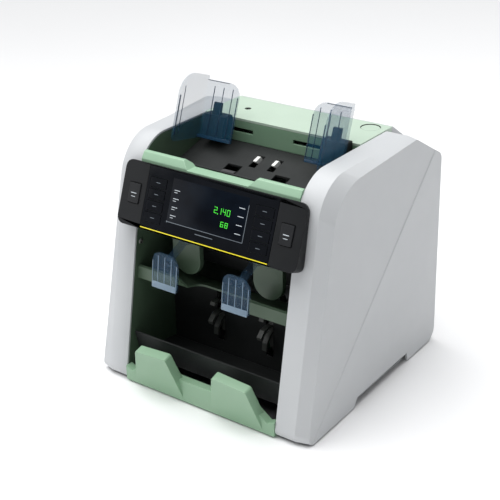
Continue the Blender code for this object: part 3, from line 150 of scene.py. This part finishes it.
def two_tone(tree, shader, value, first, second):
    """Colours a surface between two tones, by a value from 0 to 1."""
    mix = tree.nodes.new("ShaderNodeMix")
    mix.data_type = "RGBA"
    mix.inputs[6].default_value = (*first, 1.0)
    mix.inputs[7].default_value = (*second, 1.0)
    tree.links.new(value, mix.inputs["Factor"])
    tree.links.new(mix.outputs[2], shader.inputs["Base Color"])


def grain(tree, shader, value, strength, depth):
    """Raises a fine relief from a value."""
    bump = tree.nodes.new("ShaderNodeBump")
    bump.inputs["Strength"].default_value = strength
    bump.inputs["Distance"].default_value = depth
    tree.links.new(value, bump.inputs["Height"])
    tree.links.new(bump.outputs["Normal"], shader.inputs["Normal"])


desk_finish, tree, shader = finish_material("desk_laminate", (0.90, 0.90, 0.905), 0.22)
two_tone(tree, shader, spread(tree, noise(tree, 2.0), 0.0, 1.0),
         (0.97, 0.97, 0.975), (0.955, 0.955, 0.96))
desk.data.materials.append(desk_finish)

# ---- Side covers
# Two deep ABS mouldings in cool white, mirror copies of each other, screwed to the steel
# frames from inside.  A flat strip frames the front and top, a bevel band turns the corner,
# and a slanting step crosses the outer face.  A notch in the bottom edge takes fingertips.
FRONT = -0.12822
STRIP_OUTER, HALF_WIDTH, POCKET_HALF = 0.1207, 0.1359, 0.0975
COVER_TOP, COVER_FOOT, WALL = 0.261, 0.002, 0.0025


def only(*chosen):
    """Selects just these objects, the first of them active."""
    if bpy.context.object and bpy.context.object.mode != "OBJECT":
        bpy.ops.object.mode_set(mode="OBJECT")
    bpy.ops.object.select_all(action="DESELECT")
    for each in chosen:
        each.select_set(True)
    bpy.context.view_layer.objects.active = chosen[0]


def cube(name, low, high):
    """A block between two corners, with its place in its mesh."""
    bpy.ops.object.select_all(action="DESELECT")
    low, high = Vector(low), Vector(high)
    bpy.ops.mesh.primitive_cube_add(size=1.0, location=(low + high) / 2)
    made = bpy.context.object
    made.name = name
    made.scale = high - low
    bpy.ops.object.transform_apply(location=True, rotation=True, scale=True)
    return made


def edit(piece, kind):
    """Opens a piece in edit mode with nothing selected."""
    only(piece)
    bpy.ops.object.mode_set(mode="EDIT")
    bpy.ops.mesh.select_mode(type=kind)
    bpy.ops.mesh.select_all(action="DESELECT")


def pick(piece, kind, wanted):
    """Selects a piece's vertices, edges or faces that a test accepts, then returns to edit mode."""
    edit(piece, kind)
    bpy.ops.object.mode_set(mode="OBJECT")
    items = {"VERT": piece.data.vertices, "EDGE": piece.data.edges, "FACE": piece.data.polygons}
    for item in items[kind]:
        item.select = wanted(item)
    bpy.ops.object.mode_set(mode="EDIT")


def slice_off(point, normal):
    """Cuts away what lies beyond a plane and closes the cut."""
    bpy.ops.mesh.select_all(action="SELECT")
    bpy.ops.mesh.bisect(plane_co=point, plane_no=normal, use_fill=True, clear_outer=True)


def use(piece, kind, **settings):
    """Adds one modifier with these settings and applies it."""
    only(piece)
    made = piece.modifiers.new(kind.lower(), kind)
    for name, value in settings.items():
        setattr(made, name, value)
    bpy.ops.object.modifier_apply(modifier=made.name)


def smooth(piece, degrees=35.0):
    """Smooths a piece's shading except across sharp edges."""
    only(piece)
    bpy.ops.object.shade_smooth_by_angle(angle=math.radians(degrees))


def soften(piece, width, segments=2, degrees=30.0):
    """Rounds a piece's sharp edges and evens its shading."""
    use(piece, "BEVEL", width=width, segments=segments, limit_method="ANGLE",
        angle_limit=math.radians(degrees), use_clamp_overlap=True)
    smooth(piece, 40.0)
    use(piece, "WEIGHTED_NORMAL", keep_sharp=True, weight=80)


def dress(piece, name, finish, body, slot, *replaced):
    """Gives a finished piece its name, material and body, and hides the nodes it replaces."""
    piece.name = name
    if finish is not None:
        piece.data.materials.clear()
        piece.data.materials.append(finish)
    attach(piece, body)
    if replaced:
        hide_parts(*replaced)
    return piece


cover = cube("side_cover", (POCKET_HALF, FRONT - 0.01, COVER_FOOT), (HALF_WIDTH, 0.16, COVER_TOP))
edit(cover, "EDGE")
slice_off((0.0, FRONT, 0.0), (0.0, -1.0, 0.19))
slice_off((0.0, FRONT + 0.2692, COVER_FOOT), (0.0, 1.0, 0.0401))
slice_off((0.0, FRONT + 0.206, COVER_TOP), (0.0, 0.0320, 0.0541))
bpy.ops.mesh.select_all(action="SELECT")
bpy.ops.mesh.bisect(plane_co=(STRIP_OUTER, 0.0, 0.0), plane_no=(1.0, 0.0, 0.0))
cover_corners = (                      # y, z, shift of the outer face, width of the rounding
    (FRONT + 0.0004, 0.002, (0.0042, 0.0), 0.0090),
    (FRONT + 0.2692, 0.002, (-0.0022, 0.0), 0.0150),
    (FRONT + 0.2601, 0.229, (-0.0030, -0.0010), 0.0060),
    (FRONT + 0.2060, 0.261, (-0.0025, -0.0015), 0.0030),
    (FRONT + 0.0496, 0.261, (0.0106, -0.0095), 0.0345),
)


def near(co, corner, reach):
    """Whether a point is within reach of a corner in the side view."""
    return math.hypot(co.y - corner[0], co.z - corner[1]) < reach


def runs_across(edge, corner):
    """Whether an edge of the cover runs sideways at a corner, in the band or in the strip."""
    first, second = (cover.data.vertices[n].co for n in edge.vertices)
    return (abs(first.x - second.x) > 0.01 and near(first, corner, 0.016)
            and near(second, corner, 0.016))


for corner in cover_corners:
    pick(cover, "VERT", lambda v: v.co.x > HALF_WIDTH - 0.001 and near(v.co, corner, 0.004))
    bpy.ops.transform.translate(value=(0.0, *corner[2]))
for corner in cover_corners:
    pick(cover, "EDGE", lambda e: runs_across(e, corner))
    bpy.ops.mesh.bevel(offset=corner[3], offset_type="OFFSET", segments=16 if corner[3] > 0.02 else 8,
                       affect="EDGES")
pick(cover, "FACE", lambda f: f.normal.x < -0.9 or f.normal.z < -0.95)
bpy.ops.mesh.delete(type="FACE")

# The slanting step: the outer face above it falls away to the front, the rest to the rear.
STEP_HEIGHT, FALL_ABOVE, FALL_BELOW, STEP_HALF = 0.0009, 0.024, 0.016, 0.0006
step_top, step_foot = Vector((0.1130, 0.2355)), Vector((-0.1085, 0.0105))
step_run = (step_top - step_foot).normalized()
step_side = Vector((-step_run.y, step_run.x))
for shift in (STEP_HALF, -STEP_HALF):
    pick(cover, "FACE", lambda f: f.normal.x > 0.995)
    bpy.ops.mesh.bisect(plane_co=(0.0, *(step_foot + step_side * shift)), plane_no=(0.0, *step_side))
bpy.ops.object.mode_set(mode="OBJECT")
for point in cover.data.vertices:
    if point.co.x > HALF_WIDTH - 0.0001:
        off = step_side.dot(Vector((point.co.y, point.co.z)) - step_foot)
        point.co.x -= STEP_HEIGHT + off * FALL_ABOVE if off > 0.0 else -off * FALL_BELOW
bpy.ops.object.mode_set(mode="EDIT")

notch_front, notch_rear, notch_top, slant = FRONT + 0.093, FRONT + 0.205, 0.012, 0.0033
for point, normal in (((0.0, notch_front + slant, notch_top), (0.0, notch_top, -2 * slant)),
                      ((0.0, notch_rear - slant, notch_top), (0.0, notch_top, slant)),
                      ((0.0, 0.0, notch_top), (0.0, 0.0, 1.0))):
    pick(cover, "FACE", lambda f: f.center.x > STRIP_OUTER and f.normal.x > 0.3)
    bpy.ops.mesh.bisect(plane_co=point, plane_no=normal)
pick(cover, "FACE", lambda f: f.normal.x > 0.3 and f.center.z < notch_top
     and notch_front - slant < f.center.y < notch_rear)
bpy.ops.mesh.delete(type="FACE")
bpy.ops.object.mode_set(mode="OBJECT")
use(cover, "SOLIDIFY", thickness=WALL, offset=-1.0, use_even_offset=True)
soften(cover, 0.0007, 2, 24.0)

cover_white, tree, shader = finish_material("cover_abs_white", (0.80, 0.81, 0.82), 0.42)
two_tone(tree, shader, spread(tree, noise(tree, 9.0, 4.0), 0.0, 1.0),
         (0.560, 0.575, 0.590), (0.585, 0.600, 0.612))
grain(tree, shader, noise(tree, 2600.0, 2.0), 0.12, 0.0002)
tree.links.new(spread(tree, noise(tree, 60.0), 0.36, 0.44), shader.inputs["Roughness"])
only(cover)
bpy.ops.object.duplicate()
mirrored = bpy.context.object
mirrored.scale.x = -1.0
bpy.ops.object.transform_apply(location=False, rotation=False, scale=True)
edit(mirrored, "FACE")
bpy.ops.mesh.select_all(action="SELECT")
bpy.ops.mesh.flip_normals()
bpy.ops.object.mode_set(mode="OBJECT")
dress(cover, "right_side_cover", cover_white, "chassis", "cover_white", "side_cover_right")
dress(mirrored, "left_side_cover", cover_white, "chassis", "cover_white", "side_cover_left")


def dressed(node, finish, body, slot, width=0.0006, flat=1.0):
    """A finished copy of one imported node: merged, its flat faces joined, its edges rounded."""
    only(nodes[node])
    bpy.ops.object.duplicate()
    piece = bpy.context.object
    del piece["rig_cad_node"]
    edit(piece, "VERT")
    bpy.ops.mesh.customdata_custom_splitnormals_clear()
    bpy.ops.mesh.select_all(action="SELECT")
    bpy.ops.mesh.remove_doubles(threshold=0.00001)
    if flat:
        bpy.ops.mesh.dissolve_limited(angle_limit=math.radians(flat))
    bpy.ops.object.mode_set(mode="OBJECT")
    soften(piece, width)
    return dress(piece, node + "_finish", finish, body, slot, node)


def plastic(name, first, second, roughness, spread_of=14.0, depth=0.00015, shine=0.5):
    """A moulded plastic: a slow drift between two close tones and a fine spark grain."""
    made, tree, shader = finish_material(name, first, roughness)
    two_tone(tree, shader, spread(tree, noise(tree, spread_of, 4.0), 0.0, 1.0), first, second)
    grain(tree, shader, noise(tree, 2400.0, 2.0), 0.10, depth)
    shader.inputs["Specular IOR Level"].default_value = shine
    tree.links.new(spread(tree, noise(tree, 70.0), roughness - 0.05, roughness + 0.05),
                   shader.inputs["Roughness"])
    return made


def metal(name, first, second, roughness, stretch=(1.0, 1.0, 1.0)):
    """A bare metal with brushed or rolled streaks."""
    made, tree, shader = finish_material(name, first, roughness, 1.0)
    streaks = noise(tree, 220.0, 4.0, stretch)
    two_tone(tree, shader, spread(tree, streaks, 0.0, 1.0), first, second)
    tree.links.new(spread(tree, streaks, roughness - 0.06, roughness + 0.08),
                   shader.inputs["Roughness"])
    grain(tree, shader, streaks, 0.08, 0.0001)
    return made


def placed(piece, matrix):
    """Applies a place to a piece's mesh, so that its object stays at the origin."""
    piece.matrix_world = matrix @ piece.matrix_world
    only(piece)
    bpy.ops.object.transform_apply(location=True, rotation=True, scale=True)
    return piece


def joined(pieces):
    """Makes one object of several pieces."""
    only(*pieces)
    bpy.ops.object.join()
    return bpy.context.object


def block(name, low, high, width=0.0004, matrix=None):
    """A small block with rounded edges, turned into place where asked."""
    made = cube(name, low, high)
    use(made, "BEVEL", width=width, segments=2, limit_method="ANGLE")
    smooth(made)
    return placed(made, matrix) if matrix else made


def disc(name, radius, depth, matrix, sides=32, width=0.0004):
    """A round boss or screw head standing on a surface, its axis along the matrix's Z."""
    bpy.ops.object.select_all(action="DESELECT")
    bpy.ops.mesh.primitive_cylinder_add(vertices=sides, radius=radius, depth=depth)
    made = bpy.context.object
    made.name = name
    use(made, "BEVEL", width=width, segments=2, limit_method="ANGLE")
    smooth(made)
    return placed(made, matrix)


def facing(point, direction):
    """A place whose Z looks along a direction."""
    return Matrix.Translation(point) @ Vector(direction).to_track_quat("Z", "Y").to_matrix().to_4x4()


def screw(name, point, direction, radius=0.0030):
    """A pan head screw with a cross recess."""
    place = facing(point, direction)
    head = disc(name, radius, 0.0016, place, 24, 0.0005)
    for turned in (0.0, math.pi / 2):
        bar = cube("recess", (-radius * 0.62, -0.0003, 0.0002), (radius * 0.62, 0.0003, 0.002))
        placed(bar, place @ Matrix.Rotation(turned, 4, "Z"))
        use(head, "BOOLEAN", operation="DIFFERENCE", solver="EXACT", object=bar)
        bpy.data.objects.remove(bar)
    return head


# ---- Base pan, side frames and feet
# A folded zinc-plated pan carries two upright steel side frames, which carry everything
# else.  Four rubber feet are screwed up into the pan.
zinc = metal("zinc_plate", (0.50, 0.51, 0.52), (0.40, 0.41, 0.43), 0.42, (1.0, 0.1, 1.0))
rubber = plastic("foot_rubber", (0.025, 0.025, 0.026), (0.035, 0.035, 0.036), 0.75)
dressed("base_pan", zinc, "chassis", "zinc_steel", 0.0003)
for side in ("left", "right"):
    dressed("side_frame_" + side, zinc, "chassis", "zinc_steel", 0.0003)
for name in [each for each in nodes if each.startswith("foot")]:
    dressed(name, rubber, "chassis", "roller_rubber", 0.0006)

# ---- Cheeks, stacker front and reject pocket
# Mint green ABS inner mouldings: the cheeks close the strips on the inside, the stacker
# front carries the two lobes over the lower pocket, and the tray, roof and deflector form
# the reject pocket above it.
mint_face = plastic("mint_satin", (0.26, 0.43, 0.28), (0.29, 0.46, 0.31), 0.34)
mint_lip = plastic("mint_pale", (0.31, 0.50, 0.34), (0.34, 0.53, 0.37), 0.34)
# The cheeks, reject tray and deflector take a far darker copy of the same mint: the shade inside the
# pockets, painted into their colour.
mint_painted_shade = plastic("mint_inside_painted_shade", (0.060, 0.100, 0.062), (0.075, 0.118, 0.076), 0.42)
inner_dark = plastic("inner_black", (0.016, 0.018, 0.018), (0.024, 0.026, 0.026), 0.5, shine=0.2)
for side in ("left", "right"):
    dressed("cheek_" + side, mint_painted_shade, "chassis", "pocket_green", 0.0004)
dressed("stacker_front", mint_face, "chassis", "lip_green", 0.0012)
dressed("reject_tray", mint_painted_shade, "chassis", "pocket_green", 0.0005)
dressed("note_deflector", mint_painted_shade, "chassis", "pocket_green", 0.0005)
for name in ("pocket_divider", "pocket_roof", "pocket_back_wall", "hopper_floor"):
    dressed(name, inner_dark, "chassis", "inner_black", 0.0005)
bright_screw = metal("screw_nickel", (0.62, 0.62, 0.60), (0.52, 0.52, 0.51), 0.30)
dress(screw("cheek_screw", (-0.0972, FRONT + 0.038, 0.152), (1, 0, 0)), "cheek_screw",
      bright_screw, "chassis", "zinc_steel")

# ---- Stacker wheels, rollers and shafts
# Two soft wheels with curved blades sit on a steel shaft in the lower pocket.  The feed and
# pickup rollers are rubber on steel, and the note stops hang on the thin shaft above.
steel = metal("ground_steel", (0.60, 0.60, 0.61), (0.50, 0.50, 0.52), 0.25, (0.1, 1.0, 1.0))
acetal = plastic("acetal_natural", (0.05, 0.055, 0.05), (0.065, 0.07, 0.065), 0.42)
tyre = plastic("roller_rubber", (0.05, 0.05, 0.052), (0.07, 0.07, 0.072), 0.7)
dressed("stacker_shaft", steel, "stacker", "shaft_steel", 0.0003)
for side in ("left", "right"):
    dressed("stacker_wheel_" + side, acetal, "stacker", "gear_acetal", 0.0003)
dressed("stop_shaft", steel, "chassis", "shaft_steel", 0.0003)
dressed("guide_rail", steel, "chassis", "shaft_steel", 0.0003)
for name in ("feed_roller", "pickup_roller"):
    dressed(name, tyre, name, "roller_rubber", 0.0004)

# ---- Note stops and hopper guides
# Clear bluish polycarbonate mouldings.  The two note stops hang before the reject pocket;
# the two angled guides stand in the hopper on black sliders.  Ribs, polished edges and a
# thicker foot are thin bars on them: on the guides in a darker, denser copy of the clear
# plastic, on the stops in a much lighter one, a painted highlight where their edges catch light.


def clear_plastic(name, tint, alpha, roughness=0.06):
    """Clear moulding: tinted, glossy, with a little waviness from the mould."""
    made, tree, shader = finish_material(name, tint, roughness)
    wave = noise(tree, 30.0, 2.0, (1.0, 1.0, 0.4))
    two_tone(tree, shader, spread(tree, wave, 0.0, 1.0), tint, tuple(v * 0.92 for v in tint))
    grain(tree, shader, wave, 0.05, 0.001)
    shader.inputs["Alpha"].default_value = alpha
    shader.inputs["Specular IOR Level"].default_value = 0.4
    return made


guide_clear = clear_plastic("guide_clear", (0.02, 0.12, 0.22), 0.20)
edge_clear = clear_plastic("guide_edge", (0.025, 0.06, 0.12), 0.72, 0.12)
stop_clear = clear_plastic("stop_clear", (0.05, 0.11, 0.19), 0.26)
# The stops' ribs and edges take a much lighter, more opaque copy of the clear plastic: a painted
# highlight.
stop_painted_highlight = clear_plastic("stop_painted_highlight", (0.34, 0.46, 0.58), 0.50, 0.15)
guide_local = (Matrix.Translation((0, FRONT + 0.130, 0.241))
               @ Matrix.Rotation(math.radians(-20), 4, "X"))
stop_local = (Matrix.Translation((0, FRONT + 0.0105, 0.1205))
              @ Matrix.Rotation(math.radians(-7.5), 4, "X"))
GUIDE_INNER, GUIDE_OUTER, GUIDE_TOP = 0.0465, 0.091, 0.0625
STOP_X, STOP_HALF, STOP_HEIGHT = 0.0447, 0.0165, 0.0395


def guide_bar(side, start, end, low, high, front=-0.0008, rear=0.0, width=0.0002):
    """A bar on a guide, between two distances from the machine's middle."""
    near_x, far_x = sorted((side * start, side * end))
    return block("guide_bar", (near_x, front, low), (far_x, rear, high), width, guide_local)


def stop_bar(middle, start, end, low, high, front=-0.0008, width=0.0002):
    """A bar on a note stop, between two distances from the stop's middle."""
    return block("stop_bar", (middle + start, front, low), (middle + end, 0.0, high), width, stop_local)


for side, name in ((-1, "left"), (1, "right")):
    dressed("hopper_guide_" + name, guide_clear, "guide_" + name, "guide_clear", 0.0004)
    dressed("guide_slider_" + name, inner_dark, "guide_" + name, "inner_black", 0.0004)
    dressed("note_stop_" + name, stop_clear, "note_stop_" + name, "guide_clear", 0.0004)

    lines = [
        guide_bar(side, GUIDE_INNER, GUIDE_OUTER, 0.0, 0.0035, -0.0012, 0.0, 0.0003),
        guide_bar(side, GUIDE_INNER, GUIDE_INNER + 0.001, 0.002, GUIDE_TOP - 0.014),
        guide_bar(side, GUIDE_INNER + 0.014, GUIDE_OUTER - 0.002, GUIDE_TOP - 0.0012,
                  GUIDE_TOP - 0.0004, -0.0006),
        guide_bar(side, GUIDE_OUTER - 0.0028, GUIDE_OUTER - 0.002, 0.0, 0.042, -0.0438, -0.0422),
        guide_bar(side, GUIDE_OUTER - 0.0026, GUIDE_OUTER - 0.002, 0.002, 0.052, -0.0370, -0.0362)]
    for rib in (0.054, 0.066, 0.078):
        lines.append(guide_bar(side, rib, rib + 0.0008, 0.003, GUIDE_TOP - 0.006))
    dress(joined(lines), "guide_ribs_" + name, edge_clear, "guide_" + name, "guide_clear")

    middle = side * STOP_X
    marks = [stop_bar(middle, 0.001 - STOP_HALF, STOP_HALF - 0.001, 0.0008, 0.0075, -0.0016, 0.0006)]
    for edge in (0.0006 - STOP_HALF, STOP_HALF - 0.0014):
        marks.append(stop_bar(middle, edge, edge + 0.0008, 0.004, STOP_HEIGHT - 0.010))
    for rib in (-0.0085, 0.0, 0.0085):
        marks.append(stop_bar(middle, rib - 0.0004, rib + 0.0004, 0.0075, STOP_HEIGHT - 0.004, -0.0007))
    dress(joined(marks), "stop_ribs_" + name, stop_painted_highlight, "note_stop_" + name, "guide_clear")
dressed("rack_pinion", acetal, "rack_pinion", "gear_acetal", 0.0002)

# ---- Control panel
# A charcoal housing across the cheeks, with a gloss black window over the display, two big
# silicone keys at its ends and four flat menu keys each side.  Marks are printed plain bars.
panel_local = Matrix.Translation((0, FRONT + 0.0177, 0.1784)) @ Matrix.Rotation(-0.36557, 4, "X")
charcoal = plastic("panel_charcoal", (0.010, 0.011, 0.012), (0.014, 0.015, 0.017), 0.42, shine=0.22)
gloss, tree, shader = finish_material("window_gloss", (0.004, 0.005, 0.007), 0.05)
two_tone(tree, shader, spread(tree, noise(tree, 20.0), 0.0, 1.0),
         (0.004, 0.005, 0.007), (0.006, 0.007, 0.010))
tree.links.new(spread(tree, noise(tree, 90.0), 0.10, 0.16), shader.inputs["Roughness"])
shader.inputs["Specular IOR Level"].default_value = 0.15
silicone = plastic("key_silicone", (0.010, 0.011, 0.013), (0.014, 0.015, 0.017), 0.5, shine=0.3)
dressed("panel_housing", charcoal, "chassis", "panel_charcoal", 0.0008)
menu_keys = []
dressed("panel_window", gloss, "chassis", "window_black", 0.0003, flat=0.0)
for side in ("left", "right"):
    for number in (1, 2, 3, 4):
        name = "menu_key_%s_%d" % (side, number)
        dressed(name, gloss, name, "key_black", 0.0004)
        menu_keys.append(name)
for name in ("restart_key", "start_key"):
    dressed(name, silicone, name, "key_black", 0.0008)


def lit(name, colour, strength):
    """A printed or lit mark, a little uneven across its ink and glowing by emission; on print the glow
    is painted brightness.
    """
    made, tree, shader = finish_material(name, colour, 0.4)
    two_tone(tree, shader, spread(tree, noise(tree, 300.0), 0.0, 1.0), colour,
             tuple(v * 0.85 for v in colour))
    shader.inputs["Emission Color"].default_value = (*colour, 1.0)
    shader.inputs["Emission Strength"].default_value = strength
    return made


def touching_front(node, x, height):
    """How far forward a node's front reaches at one point, in the panel's own space."""
    shape = nodes[node].data
    surface = BVHTree.FromPolygons([point.co for point in shape.vertices],
                                   [list(face.vertices) for face in shape.polygons])
    where, _, _, _ = surface.ray_cast(panel_local @ Vector((x, -0.05, height)),
                                      panel_local.to_3x3() @ Vector((0, 1, 0)))
    return (panel_local.inverted() @ where).y


# The printed inks are given a faint emission glow as well: painted brightness, since print gives no
# light; only the green display figures are really lit.
white_ink_glow = lit("printed_white_painted_glow", (0.55, 0.60, 0.64), 0.12)
grey_ink_glow = lit("printed_grey_painted_glow", (0.16, 0.19, 0.22), 0.03)
yellow_ink_glow = lit("printed_yellow_painted_glow", (0.72, 0.62, 0.02), 0.45)
led_green = lit("display_green", (0.05, 0.62, 0.03), 0.7)
SURFACE = touching_front("panel_window", 0.0, 0.033)
INK = 0.00012


def mark(low, high, depth=INK, front=None):
    """A thin printed bar on the window, between two points (across, up the slope)."""
    face = SURFACE if front is None else front
    return block("mark", (low[0], face - depth, low[1]), (high[0], face + 0.0002, high[1]),
                 0.00003, panel_local)


# Seven segments by letter: a top, b and c right, d foot, e and f left, g middle.
SEGMENTS = {"0": "abcdef", "1": "bc", "2": "abged", "4": "fgbc", "6": "afgedc", "8": "abcdefg"}


def digit(character, left, low, width, height):
    """One seven-segment figure, built of bars."""
    stroke, mid, top, right = 0.0006, low + height / 2, low + height, left + width
    bars = {"a": ((left, top - stroke), (right, top)), "d": ((left, low), (right, low + stroke)),
            "g": ((left, mid - stroke / 2), (right, mid + stroke / 2)),
            "f": ((left, mid), (left + stroke, top)), "e": ((left, low), (left + stroke, mid)),
            "b": ((right - stroke, mid), (right, top)), "c": ((right - stroke, low), (right, mid))}
    return [mark(*bars[each]) for each in SEGMENTS[character]]


figures = []
for text, left, low, height in (("2140", 0.0076, 0.0360, 0.0062), ("68", 0.0178, 0.0243, 0.0052)):
    for place, character in enumerate(text):
        figures += digit(character, left + place * 0.0052, low, 0.0036, height)
figures.append(mark((0.0120, 0.0352), (0.0127, 0.0366)))
dress(joined(figures), "display_figures", led_green, "chassis", "window_black")

# The thin lighter lines along only the bottom and right edges of the display are a painted highlight
# where light catches the window's edge; a short bar below joins them.
frame_highlights = [mark((-0.046, 0.0145), (0.047, 0.0151)), mark((0.0464, 0.0145), (0.047, 0.0520)),
               mark((-0.0475, 0.0140), (-0.0460, 0.0155)), mark((-0.010, 0.0100), (0.012, 0.0107))]
dress(joined(frame_highlights), "display_frame_highlight", grey_ink_glow, "chassis", "window_black")
status = []
for row in range(4):
    height = 0.0215 + row * 0.0085
    status.append(mark((-0.0440, height), (-0.0370, height + 0.0007)))
    status.append(mark((-0.0440, height - 0.0022), (-0.0400, height - 0.0016)))
    status.append(mark((0.0360, height), (0.0430, height + 0.0007)))
dress(joined(status), "status_marks", white_ink_glow, "chassis", "window_black")
panel_inverse = panel_local.inverted()
for name in menu_keys:
    low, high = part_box(name)
    middle = panel_inverse @ ((low + high) / 2)
    face = touching_front(name, middle.x, middle.z)
    label = mark((middle.x - 0.0025, middle.z - 0.0003), (middle.x + 0.0025, middle.z + 0.0003),
                 INK, face)
    dress(label, name + "_label", grey_ink_glow, name, "key_black")
dress(mark((-0.0790, 0.0018), (0.0790, 0.0027)), "yellow_line", yellow_ink_glow, "chassis", "window_black")

# The liquid crystal pane sits flush in the window; its black drifts towards dark blue, a painted blue
# reflection.
pane, tree, shader = finish_material("display_pane", (0.010, 0.016, 0.026), 0.08)
two_tone(tree, shader, spread(tree, noise(tree, 26.0, 3.0), 0.0, 1.0),
         (0.002, 0.003, 0.006), (0.005, 0.009, 0.016))
shader.inputs["Roughness"].default_value = 0.2
shader.inputs["Specular IOR Level"].default_value = 0.08
glass = mark((-0.0475, 0.0155), (0.0462, 0.0590), 0.00005)
dress(glass, "display_pane", pane, "chassis", "window_black")

for side, name in ((-1, "restart_key"), (1, "start_key")):
    middle = side * 0.094
    front = touching_front(name, middle, 0.034)
    bars = [mark((middle - 0.0035, 0.0335), (middle + 0.0035, 0.0343), 0.0001, front),
            mark((middle - 0.0025, 0.0300), (middle + 0.0025, 0.0306), 0.0001, front)]
    dress(joined(bars), name + "_legend", white_ink_glow, name, "key_black")

# ---- Hopper lip, wall, sensors and top cover
# Mint mouldings close the top: the front lip before the note bed, the slotted hopper wall
# behind it and the top cover with its rolled edge and round release button.
top_mint = plastic("top_cover_mint", (0.50, 0.62, 0.51), (0.53, 0.65, 0.54), 0.34)
wall_mint = plastic("hopper_wall_mint", (0.20, 0.34, 0.22), (0.225, 0.365, 0.245), 0.36)
sensor_white = plastic("sensor_white", (0.80, 0.80, 0.78), (0.84, 0.84, 0.82), 0.4)
dressed("front_lip", mint_lip, "chassis", "lip_green", 0.0010)
dressed("hopper_wall", wall_mint, "chassis", "pocket_green", 0.0005)
dressed("top_cover", top_mint, "chassis", "lip_green", 0.0009)
dressed("release_button", top_mint, "release_button", "lip_green", 0.0008)
for side in ("left", "right"):
    dressed("note_sensor_" + side, sensor_white, "note_sensor_" + side, "sensor_white", 0.0004)

# A pale, near-white strip along the top cover's front edge is a painted highlight: the light caught by
# the rounded edge, painted in as colour.
edge_highlight_paint = plastic("rolled_edge_painted_highlight", (0.78, 0.84, 0.79), (0.81, 0.87, 0.82), 0.3)
rolled = block("top_cover_edge_highlight", (-0.0968, 0.0264, 0.2592), (0.0968, 0.0296, 0.2619), 0.0011)
dress(rolled, "top_cover_edge_highlight", edge_highlight_paint, "chassis", "lip_green")

dark_ring = plastic("button_gap", (0.010, 0.012, 0.011), (0.016, 0.018, 0.017), 0.6)
BUTTON = (0.0795, 0.0759)
for name, middle, radius, low, high in (("button_ring", BUTTON, 0.0113, 0.2600, 0.26195),
                                        ("spy_hole", (-0.0632, 0.0600), 0.0030, 0.2600, 0.26195)):
    made = disc(name, radius, high - low, Matrix.Translation((*middle, (low + high) / 2)), 48, 0.0001)
    if name == "button_ring":
        bore = disc("bore", 0.0104, 0.01, Matrix.Translation((*middle, high)), 48, 0.0001)
        use(made, "BOOLEAN", operation="DIFFERENCE", solver="EXACT", object=bore)
        bpy.data.objects.remove(bore)
    dress(made, name, dark_ring, "chassis", "inner_black")

# ---- Rear door, rear panel and mains fittings
# A white door closes the upper rear on hinge ears of the fixed rear panel below it, which
# carries the power inlet and the rocker switch.
dressed("rear_door", cover_white, "rear_door", "cover_white", 0.0008)
dressed("rear_panel", cover_white, "chassis", "cover_white", 0.0006)
dressed("power_inlet", inner_dark, "chassis", "inner_black", 0.0004)
dressed("power_switch", inner_dark, "power_switch", "inner_black", 0.0005)

rear_screws = [screw("rear_screw", (x, 0.1388, z), (0, 1, 0.04), 0.0028)
               for x, z in ((-0.088, 0.058), (0.088, 0.058), (-0.088, 0.014), (0.088, 0.014))]
dress(joined(rear_screws), "rear_screws", bright_screw, "chassis", "zinc_steel")
vents = [block("vent", (0.020, 0.1380, z), (0.075, 0.1392, z + 0.0016), 0.0003)
         for z in (0.018, 0.023, 0.028, 0.033, 0.038, 0.043)]
dress(joined(vents), "rear_vents", inner_dark, "chassis", "inner_black")

# ---- Electronics and drive
# Inside: the main board, the display board, a boxed power supply, and the motor whose belt
# drives the feed roller.
board = plastic("circuit_board", (0.02, 0.13, 0.06), (0.03, 0.17, 0.08), 0.4, 60.0)
for name in ("main_board", "display_board"):
    dressed(name, board, "chassis", "circuit_board", 0.0003)
for name in ("power_supply", "main_motor"):
    dressed(name, zinc, "chassis", "zinc_steel", 0.0005)
dressed("motor_pulley", inner_dark, "motor_pulley", "inner_black", 0.0003)
dressed("drive_belt", tyre, "chassis", "roller_rubber", 0.0002)
